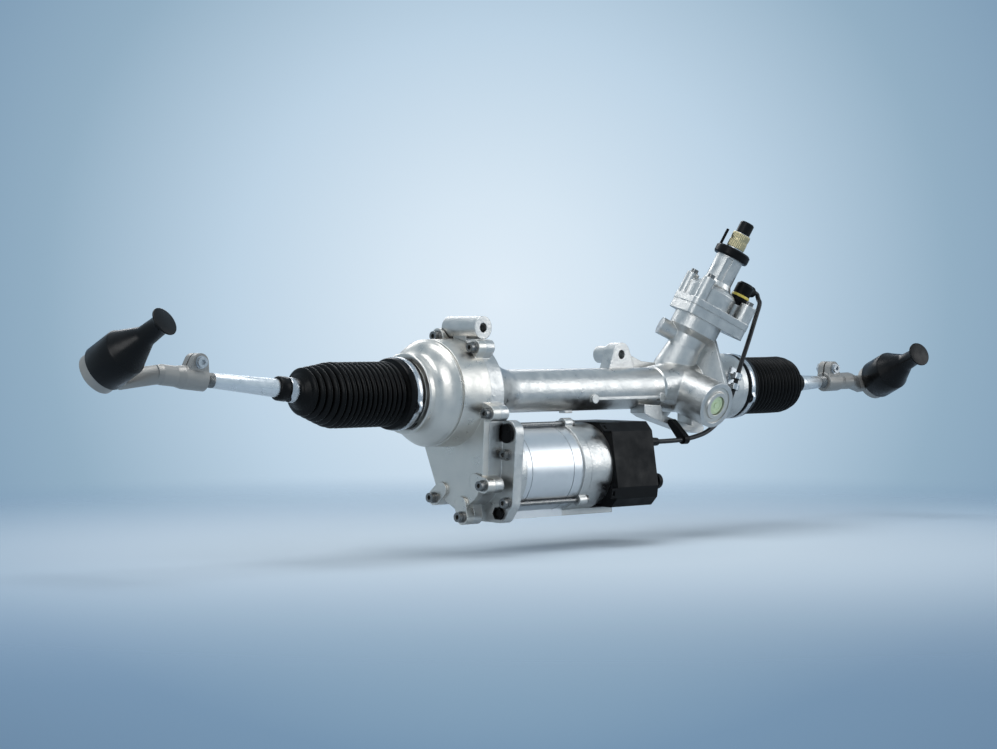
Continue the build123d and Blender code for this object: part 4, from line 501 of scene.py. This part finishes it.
def make_boot(name, part):
    """Folded boot in two pieces: folds that bend towards the rod, and a shoulder with a lipped neck on it.

    The folds stretch between housing and rack, and the neck follows the tie rod as it lifts.
    """
    wall = settings().boot_wall / MM
    side, (joint, out) = part["side"], part["rod"]
    sleeve_r, sleeve_inner, rod_room = 38.2, 36.6, 12.0
    ease_length, ease_most = 55.0, 0.85

    def rod_at(x):
        return joint + out * ((np.asarray(x, float) - joint[0]) / out[0])[..., None]

    x, radius = fold_profile(part)
    head_x = part["spigot"] + side * np.array([-18.0, -17.6, -1.0, 1.0, 2.5])
    head_r = np.array([sleeve_r - 0.4, sleeve_r, sleeve_r, sleeve_r - 1.0, radius[0] + 1.0])
    line_x, line_r = np.concatenate([head_x, x]), np.concatenate([head_r, radius])
    inner_r = np.maximum(line_r - wall, rod_room)
    inner_r[:5] = [sleeve_inner, sleeve_inner, sleeve_inner, sleeve_inner - 0.6, radius[0] - wall]
    # Centres ease over towards the rod by a smooth step along the last folds
    share = np.clip(1.0 - np.abs(line_x - x[-1]) / ease_length, 0.0, 1.0)
    share = ease_most * share * share * (3.0 - 2.0 * share)
    centres = np.stack([line_x, np.full_like(line_x, RACK_POINT[1]), np.full_like(line_x, RACK_POINT[2])], 1)
    centres[:, 1:] += (rod_at(line_x)[:, 1:] - centres[:, 1:]) * share[:, None]
    level = np.array([float(side), 0.0, 0.0])

    # Folds: out along the outside and back along the inside, up to the last two folds
    split = len(head_x) + FOLD_ROWS * (part["folds"] - 2)
    here = slice(0, split + 1)
    rows = boot_rows(
        np.concatenate([centres[here], centres[here][::-1]]),
        np.tile(level, (2 * split + 2, 1)),
        np.concatenate([line_r[here], inner_r[here][::-1]]),
    )
    folds = skin(name + "_boot_folds", rows, "chloroprene", None, wrap_rows=True)
    first, last = centres[split], centres[-1]

    # Neck: (distance past the folds, radius) pairs out along its lips, then back along the inside
    neck_out = [
        (1.4, radius[-1] - 0.8), (2.6, 14.2), (3.6, 12.3), (5.0, 11.7), (14.6, 11.7), (15.4, 12.3),
        (16.4, 12.9), (24.6, 12.7), (26.2, 12.1), (26.8, 11.0),
    ]
    neck_in = [(26.8, 9.85), (5.0, 9.85), (3.4, 11.5), (2.0, radius[-1] - 2.6)]
    reach, neck_r = (np.array(column) for column in zip(*(neck_out + neck_in)))
    ease = np.clip(reach / 4.0, 0.0, 1.0)[:, None]
    neck = rod_at(x[-1] + side * reach)
    neck[:, 1:] = last[1:] + (neck[:, 1:] - last[1:]) * ease
    ahead = level * (1 - ease) + out * ease
    ahead /= np.linalg.norm(ahead, axis=1)[:, None]
    there = slice(split, None)
    still = np.tile(level, (len(line_x) - split, 1))
    rows = boot_rows(
        np.concatenate([centres[there], neck, centres[there][::-1]]),
        np.concatenate([still, ahead, still]),
        np.concatenate([line_r[there], neck_r, inner_r[there][::-1]]),
    )
    mouth = skin(name + "_boot_neck", rows, "chloroprene", None, wrap_rows=True)

    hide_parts(name + "_bellows")
    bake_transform(folds)
    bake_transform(mouth)


# Clamp bands, rods, caps, splines and threads

def make_band(name, centre, axis, ear_way, inner, width, ear_width, body, replaced):
    """Clamp band of zinc plated steel, lifted into a crimped ear and narrower there.

    Outer radius = inner + thickness + height * exp(-(angle / spread) ** 4).
    """
    axis, side, up = across_pair(axis)
    angle = np.linspace(0, 2 * np.pi, 180, endpoint=False)
    toward = math.atan2(float(np.dot(ear_way, up)), float(np.dot(ear_way, side)))
    offset = (angle - toward + np.pi) % (2 * np.pi) - np.pi
    ear = np.exp(-(offset * inner / ear_width) ** 4)
    lift = 0.35 * inner ** 0.6 * ear
    pinch = 1.0 - 0.35 * ear
    around = np.cos(angle)[:, None] * side + np.sin(angle)[:, None] * up
    rows = []
    for along, thickness in ((-0.5, 0.0), (-0.5, 0.7), (-0.42, 0.95), (0.42, 0.95), (0.5, 0.7), (0.5, 0.0)):
        reach = inner + thickness + lift * (thickness > 0.0)
        rows.append(np.asarray(centre) + (along * width * pinch)[:, None] * axis + reach[:, None] * around)
    band = skin(name, np.stack(rows), "zinc_plated_steel", body, wrap_rows=True)
    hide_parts(replaced)


def make_bands():
    """Big and small clamp bands of both boots, each with its crimped ear."""
    for name, part in SIDES.items():
        side, (joint, out) = part["side"], part["rod"]
        big = np.array([part["spigot"] - side * 9.5, RACK_POINT[1], RACK_POINT[2]])
        make_band(name + "_big_band", big, (1.0, 0.0, 0.0), np.array([0.0, -0.93, -0.36]), 38.22, 7.0, 5.0,
                  "housing", name + "_big_clamp")
        small = joint + out * ((part["clamp"] - side * 8.2 - joint[0]) / out[0])
        make_band(name + "_small_band", small, out, np.array([0.0, -0.5, -0.87]), 11.75, 8.6, 4.2,
                  name + "_tie_rod", name + "_small_clamp")


def make_rods():
    """Tie rods: inner ball, slim neck inside the boot, shank that narrows outwards, end in its sleeve."""
    for name, part in SIDES.items():
        joint, out = part["rod"]
        ball, neck, wide, narrow, thread = 13.5, 6.5, 9.5, 7.7, 6.95
        turn = np.linspace(np.pi, math.asin(neck / ball), 20)
        profile = [(ball * math.cos(a), ball * math.sin(a)) for a in turn]
        grip = abs(part["clamp"] - joint[0]) - 16.0
        shank_end, rod_end = part["length"] - 122.0, part["length"] - 58.0
        profile += [
            (24.0, neck), (33.0, 7.2), (grip - 1.0, 7.4), (grip + 2.0, wide), (grip + 30.0, wide),
            (shank_end - 1.0, narrow), (shank_end, 7.1), (shank_end, thread), (rod_end, thread),
            (rod_end, 0.0),
        ]
        rod = turned_piece(name + "_rod", joint, out, profile, "galvanised_steel", name + "_tie_rod")
        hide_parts(name + "_tie_rod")


def make_caps():
    """Transport caps: straight skirt, cone, slim neck and a flared tip, with the wall's inside."""
    outside = [
        (-1.0, 22.8), (-1.0, 24.2), (-0.6, 24.5), (30.0, 24.4), (31.6, 24.0), (32.6, 23.1), (57.5, 11.9),
        (59.0, 11.3), (61.0, 10.8), (81.0, 9.9), (83.5, 10.8), (85.0, 13.4), (86.4, 14.9), (87.2, 15.1),
        (87.8, 14.8), (88.0, 14.2), (88.0, 0.0),
    ]
    inside = [(84.0, 0.0), (84.0, 7.6), (60.0, 9.0), (56.5, 10.3), (31.5, 21.6), (29.5, 22.4)]
    for name, part in SIDES.items():
        joint, out = part["rod"]
        ball, axis = stud_line(part["side"], joint, out, part["length"], part["turn"])
        cap = turned_piece(name + "_cap_shell", ball, axis, outside + inside, "polyethylene", name + "_cap",
                           closed=True)
        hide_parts(name + "_transport_cap")


def make_splines():
    """Splines of the input shaft: radius = root + height * smooth square wave, less at a groove round it."""
    count = settings().spline_count
    root, depth, groove_at, groove_width = 10.55, 0.5, 189.5, 1.6
    along = np.linspace(179.0, 197.6, 24)
    angle = np.linspace(0, 2 * np.pi, count * 12, endpoint=False)
    teeth = 0.5 + 0.5 * np.tanh(1.6 * np.sin(angle * count))
    ends = np.clip(np.minimum(along - along[0], along[-1] - along) / 1.2, 0.0, 1.0)
    groove = 1.0 - np.exp(-((along - groove_at) / groove_width) ** 2)
    radius = root + (depth * ends * groove)[:, None] * teeth[None, :]
    ridged_piece("input_splines", PINION_CROSS, TOWER, along, angle, radius, 10.3, "spline_steel",
                 "input_shaft")


def make_threads():
    """Rod thread beside each clamp sleeve: radius = root + depth * saw of (angle / turn + along / pitch)."""
    pitch = settings().thread_pitch / MM
    root, depth, rows_per_turn = 7.06, 0.72, 8
    for name, part in SIDES.items():
        joint, out = part["rod"]
        start, end = part["length"] - 121.5, part["length"] - 111.0
        along = np.linspace(start, end, int((end - start) / pitch * rows_per_turn))
        angle = np.linspace(0, 2 * np.pi, 64, endpoint=False)
        phase = (angle[None, :] / (2 * np.pi) + along[:, None] / pitch) % 1.0
        radius = root + depth * (1.0 - np.abs(2.0 * phase - 1.0))
        ridged_piece(name + "_rod_thread", joint, out, along, angle, radius, 6.9, "phosphated_steel",
                     name + "_tie_rod")


def make_small_pieces():
    """Sealing cap in the yoke plug and lock ring of the connector, each a turned surface."""
    face = 66.0  # outer face of the yoke plug, from the rack axis
    turned_piece(
        "yoke_seal_cap", RACK_CROSS, PRESS,
        [(face - 2.95, 0), (face - 2.95, 11.0), (face - 1.0, 11.0), (face - 0.4, 10.2), (face - 0.4, 7.2),
         (face - 1.2, 6.6), (face - 1.2, 3.4), (face - 0.2, 3.0), (face - 0.2, 0)],
        "sealing_plastic", "housing",
    )
    seat_height, seat_forward, seat_across = 121.0, 14.0, -33.0
    seat = PINION_CROSS + TOWER * seat_height + PRESS * seat_forward + np.cross(TOWER, -PRESS) * seat_across
    turned_piece(
        "connector_lock_ring", seat, TOWER,
        [(10.5, 10.55), (10.5, 11.3), (13.0, 11.3), (13.6, 10.9), (13.6, 10.55)],
        "yellow_nylon", "housing", closed=True,
    )


def make_lead():
    """Sensor lead: a smooth line with the route's points as its control points, thickened to a round cord."""
    route = [
        (-0.012, -0.076, -0.099), (0.031, -0.076, -0.099), (0.064, -0.072, -0.0965),
        (0.097, -0.0675, -0.0905), (0.12, -0.0685, -0.074), (0.134, -0.072, -0.048),
        (0.145, -0.0735, -0.017), (0.164, -0.0715, 0.015), (0.181, -0.0685, 0.044), (0.1915, -0.0668, 0.061),
        (0.19562, -0.06013, 0.06492), (0.19262, -0.06013, 0.07392), (0.17862, -0.06013, 0.07392),
    ]
    diameter = 0.0055
    curve = bpy.data.curves.new("sensor_lead_cord", "CURVE")
    curve.dimensions = "3D"
    curve.bevel_depth = diameter / 2
    curve.bevel_resolution = 6
    curve.use_fill_caps = True
    line = curve.splines.new("NURBS")
    line.points.add(len(route) - 1)
    for point, spot in zip(line.points, route):
        point.co = (*spot, 1.0)
    line.order_u = 3
    line.use_endpoint_u = True
    line.resolution_u = 16
    curve.materials.append(palette["vinyl"])
    cord = bpy.data.objects.new("sensor_lead_cord", curve)
    bpy.context.scene.collection.objects.link(cord)
    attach(cord, "housing")
    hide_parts("sensor_lead")


class RACK_OT_finishes(Operator):
    """Give every solid its finish"""

    bl_idname = "steering_rack.finishes"
    bl_label = "Finishes"

    def execute(self, context):
        make_palette()
        for name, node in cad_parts.items():
            side, _, kind = name.partition("_")
            finish = SIDE_FINISH[kind] if side in SIDES else NODE_FINISH[name]
            node.data.materials.clear()
            node.data.materials.append(palette[finish])
        return {"FINISHED"}


class RACK_OT_bellows(Operator):
    """Add both folded boots"""

    bl_idname = "steering_rack.bellows"
    bl_label = "Bellows"

    def execute(self, context):
        for name, part in SIDES.items():
            make_boot(name, part)
        return {"FINISHED"}


class RACK_OT_bands(Operator):
    """Add the clamp bands of the boots"""

    bl_idname = "steering_rack.bands"
    bl_label = "Clamp bands"

    def execute(self, context):
        make_bands()
        return {"FINISHED"}


class RACK_OT_rods(Operator):
    """Add the tie rods"""

    bl_idname = "steering_rack.rods"
    bl_label = "Tie rods"

    def execute(self, context):
        make_rods()
        return {"FINISHED"}


class RACK_OT_caps(Operator):
    """Add the transport caps"""

    bl_idname = "steering_rack.caps"
    bl_label = "Transport caps"

    def execute(self, context):
        make_caps()
        return {"FINISHED"}


class RACK_OT_splines(Operator):
    """Add the splines of the input shaft"""

    bl_idname = "steering_rack.splines"
    bl_label = "Input splines"

    def execute(self, context):
        make_splines()
        return {"FINISHED"}


class RACK_OT_threads(Operator):
    """Add the threads of both tie rods"""

    bl_idname = "steering_rack.threads"
    bl_label = "Rod threads"

    def execute(self, context):
        make_threads()
        return {"FINISHED"}


class RACK_OT_lead(Operator):
    """Add the sensor lead"""

    bl_idname = "steering_rack.lead"
    bl_label = "Sensor lead"

    def execute(self, context):
        make_lead()
        return {"FINISHED"}


class RACK_OT_small_pieces(Operator):
    """Add the small caps and rings"""

    bl_idname = "steering_rack.small_pieces"
    bl_label = "Caps and rings"

    def execute(self, context):
        make_small_pieces()
        return {"FINISHED"}


def lamp(name, spot, aim, size, power):
    """Rectangular soft white lamp at a point, facing another."""
    data = bpy.data.lights.new(name, "AREA")
    data.shape = "RECTANGLE"
    data.size, data.size_y = size
    data.energy = power
    thing = bpy.data.objects.new(name, data)
    thing.location = spot
    thing.rotation_euler = (Vector(aim) - Vector(spot)).to_track_quat("-Z", "Y").to_euler()
    bpy.context.scene.collection.objects.link(thing)


def make_floor():
    """Flat floor under the rack: pale paint deepening with distance, a painted pool of light round the rack,
    fading out into the backdrop.
    """
    s = settings()
    half = 2.0
    middle = (-0.12, -0.03, -0.215)
    corners = [(-half, -half), (half, -half), (half, half), (-half, half)]
    mesh = bpy.data.meshes.new("floor")
    mesh.from_pydata([(x + middle[0], y + middle[1], middle[2]) for x, y in corners], [], [(0, 1, 2, 3)])
    floor = bpy.data.objects.new("floor", mesh)
    bpy.context.scene.collection.objects.link(floor)
    material, tree, place = start_material("Painted_studio_floor")
    away = add_node(tree, "ShaderNodeVectorMath", {0: place, 1: middle}, operation="SUBTRACT")
    distance = add_node(
        tree, "ShaderNodeVectorMath", {0: away.outputs["Vector"]}, operation="LENGTH"
    ).outputs["Value"]
    # Painted pool of light: the floor's colour deepens from the middle outwards
    reach = add_node(
        tree, "ShaderNodeMapRange", {"Value": distance, "From Min": 0.25, "From Max": 1.2}
    ).outputs["Result"]
    tint = add_node(
        tree, "ShaderNodeMix", {0: reach, 6: rgba(s.floor_colour), 7: rgba(s.floor_painted_falloff_colour)},
        data_type="RGBA",
    ).outputs[2]
    paint = add_node(tree, "ShaderNodeBsdfDiffuse", {"Color": tint, "Roughness": 0.9}).outputs[0]
    gone = add_node(tree, "ShaderNodeBsdfTransparent").outputs[0]
    fade = add_node(
        tree, "ShaderNodeMapRange", {"Value": distance, "From Min": 0.4, "From Max": 1.5},
        interpolation_type="SMOOTHSTEP",
    ).outputs["Result"]
    finish_material(tree, add_node(tree, "ShaderNodeMixShader", {0: fade, 1: paint, 2: gone}))
    mesh.materials.append(material)


def make_backdrop(context, forward):
    """World: soft fill for matt surfaces; the camera and shiny surfaces see a pale blue glow.

    The glow's middle lies a little above the photograph's own line of sight, and it deepens with the angle
    from there and towards the floor.
    """
    world = bpy.data.worlds.new("Studio")
    context.scene.world = world
    world.use_nodes = True
    tree = world.node_tree
    tree.nodes.clear()
    way = add_node(tree, "ShaderNodeTexCoord").outputs["Generated"]
    glow = Vector((forward[0], forward[1], forward[2] + 0.03)).normalized()
    facing = add_node(
        tree, "ShaderNodeVectorMath", {0: way, 1: tuple(glow)}, operation="DOT_PRODUCT"
    ).outputs["Value"]
    angle = add_node(tree, "ShaderNodeMath", {0: facing}, operation="ARCCOSINE").outputs[0]
    height = add_node(tree, "ShaderNodeSeparateXYZ", {"Vector": way}).outputs["Z"]
    below = add_node(
        tree, "ShaderNodeMapRange", {"Value": height, "From Min": -0.06, "From Max": -0.2, "To Max": 0.12}
    ).outputs["Result"]
    share = add_node(
        tree, "ShaderNodeMath", {0: angle, 1: 1.25, 2: below}, operation="MULTIPLY_ADD", use_clamp=True
    ).outputs[0]
    ramp = add_node(tree, "ShaderNodeValToRGB", {"Fac": share})
    stops = ramp.color_ramp.elements
    stops[0].color, stops[0].position = rgba(linear("#E0EDF8")), 0.0
    stops[1].color, stops[1].position = rgba(linear("#AFC3D3")), 1.0
    between = ((0.05, "#D6E6F3"), (0.13, "#BDD3E5"), (0.22, "#93AFC4"), (0.32, "#7694B0"), (0.42, "#6D8AA6"))
    for position, code in between:
        stops.new(position).color = rgba(linear(code))
    path = add_node(tree, "ShaderNodeLightPath").outputs
    either = path["Is Camera Ray"]
    for kind in ("Is Glossy Ray", "Is Transmission Ray"):
        either = add_node(tree, "ShaderNodeMath", {0: either, 1: path[kind]}, operation="MAXIMUM").outputs[0]
    fill = add_node(tree, "ShaderNodeBackground", {"Color": rgba(linear("#E6EDF4")), "Strength": 0.5})
    seen = add_node(tree, "ShaderNodeBackground", {"Color": ramp.outputs["Color"], "Strength": 1.0})
    mixed = add_node(tree, "ShaderNodeMixShader", {0: either, 1: fill.outputs[0], 2: seen.outputs[0]})
    add_node(tree, "ShaderNodeOutputWorld", {"Surface": mixed.outputs[0]})


class RACK_OT_stage(Operator):
    """Add the floor, lamps and camera"""

    bl_idname = "steering_rack.stage"
    bl_label = "Stage"

    def execute(self, context):
        scene = context.scene
        scene.view_settings.view_transform = "Standard"
        turn, dip, distance, lift = math.radians(44.5), math.radians(1.0), 2.805, 0.01859
        forward = Vector((math.sin(turn) * math.cos(dip), math.cos(turn) * math.cos(dip), -math.sin(dip)))
        right = Vector((math.cos(turn), -math.sin(turn), 0.0))
        above = right.cross(forward)
        data = bpy.data.cameras.new("Camera")
        focal_px, width_px = 2550.0, 997.0
        data.sensor_width = 36.0
        data.lens = data.sensor_width * focal_px / width_px
        data.clip_end = 50.0
        camera = bpy.data.objects.new("Camera", data)
        place = Vector((-0.208, -0.026, -0.039)) - forward * distance + above * lift
        view = Matrix((right, above, -forward)).transposed().to_4x4()
        camera.matrix_world = Matrix.Translation(place) @ view
        scene.collection.objects.link(camera)
        scene.camera = camera
        make_floor()
        make_backdrop(context, forward)
        aim = (-0.1, -0.05, -0.05)
        lamp("top_softbox", (-0.4, -0.1, 1.5), aim, (1.3, 0.7), 14.5)
        lamp("right_softbox", (1.45, -1.45, 0.6), aim, (1.0, 1.3), 11.0)
        lamp("left_softbox", (-2.0, -0.6, 0.7), aim, (0.8, 1.0), 8.0)
        lamp("back_strip", (0.6, 1.4, 0.9), aim, (1.6, 0.3), 8.0)
        return {"FINISHED"}


class RACK_PT_panel(Panel):
    """Lists the steps that dress the steering rack"""

    bl_idname = "RACK_PT_panel"
    bl_label = "Steering rack"
    bl_space_type = "VIEW_3D"
    bl_region_type = "UI"
    bl_category = "Steering rack"

    def draw(self, context):
        layout = self.layout
        for name in RackSettings.__annotations__:
            layout.prop(context.scene.steering_rack, name)
        for step in STEPS:
            layout.operator(step.bl_idname)


STEPS = (
    RACK_OT_finishes, RACK_OT_stage, RACK_OT_bellows, RACK_OT_bands, RACK_OT_rods, RACK_OT_caps,
    RACK_OT_splines, RACK_OT_threads, RACK_OT_lead, RACK_OT_small_pieces,
)
CLASSES = (RackSettings,) + STEPS + (RACK_PT_panel,)


def register():
    for kind in CLASSES:
        bpy.utils.register_class(kind)
    bpy.types.Scene.steering_rack = PointerProperty(type=RackSettings)


def unregister():
    del bpy.types.Scene.steering_rack
    for kind in reversed(CLASSES):
        bpy.utils.unregister_class(kind)


def main():
    """Runs every step in order."""
    register()
    for step in STEPS:
        group, _, call = step.bl_idname.partition(".")
        getattr(getattr(bpy.ops, group), call)()


if __name__ == "__main__":
    main()
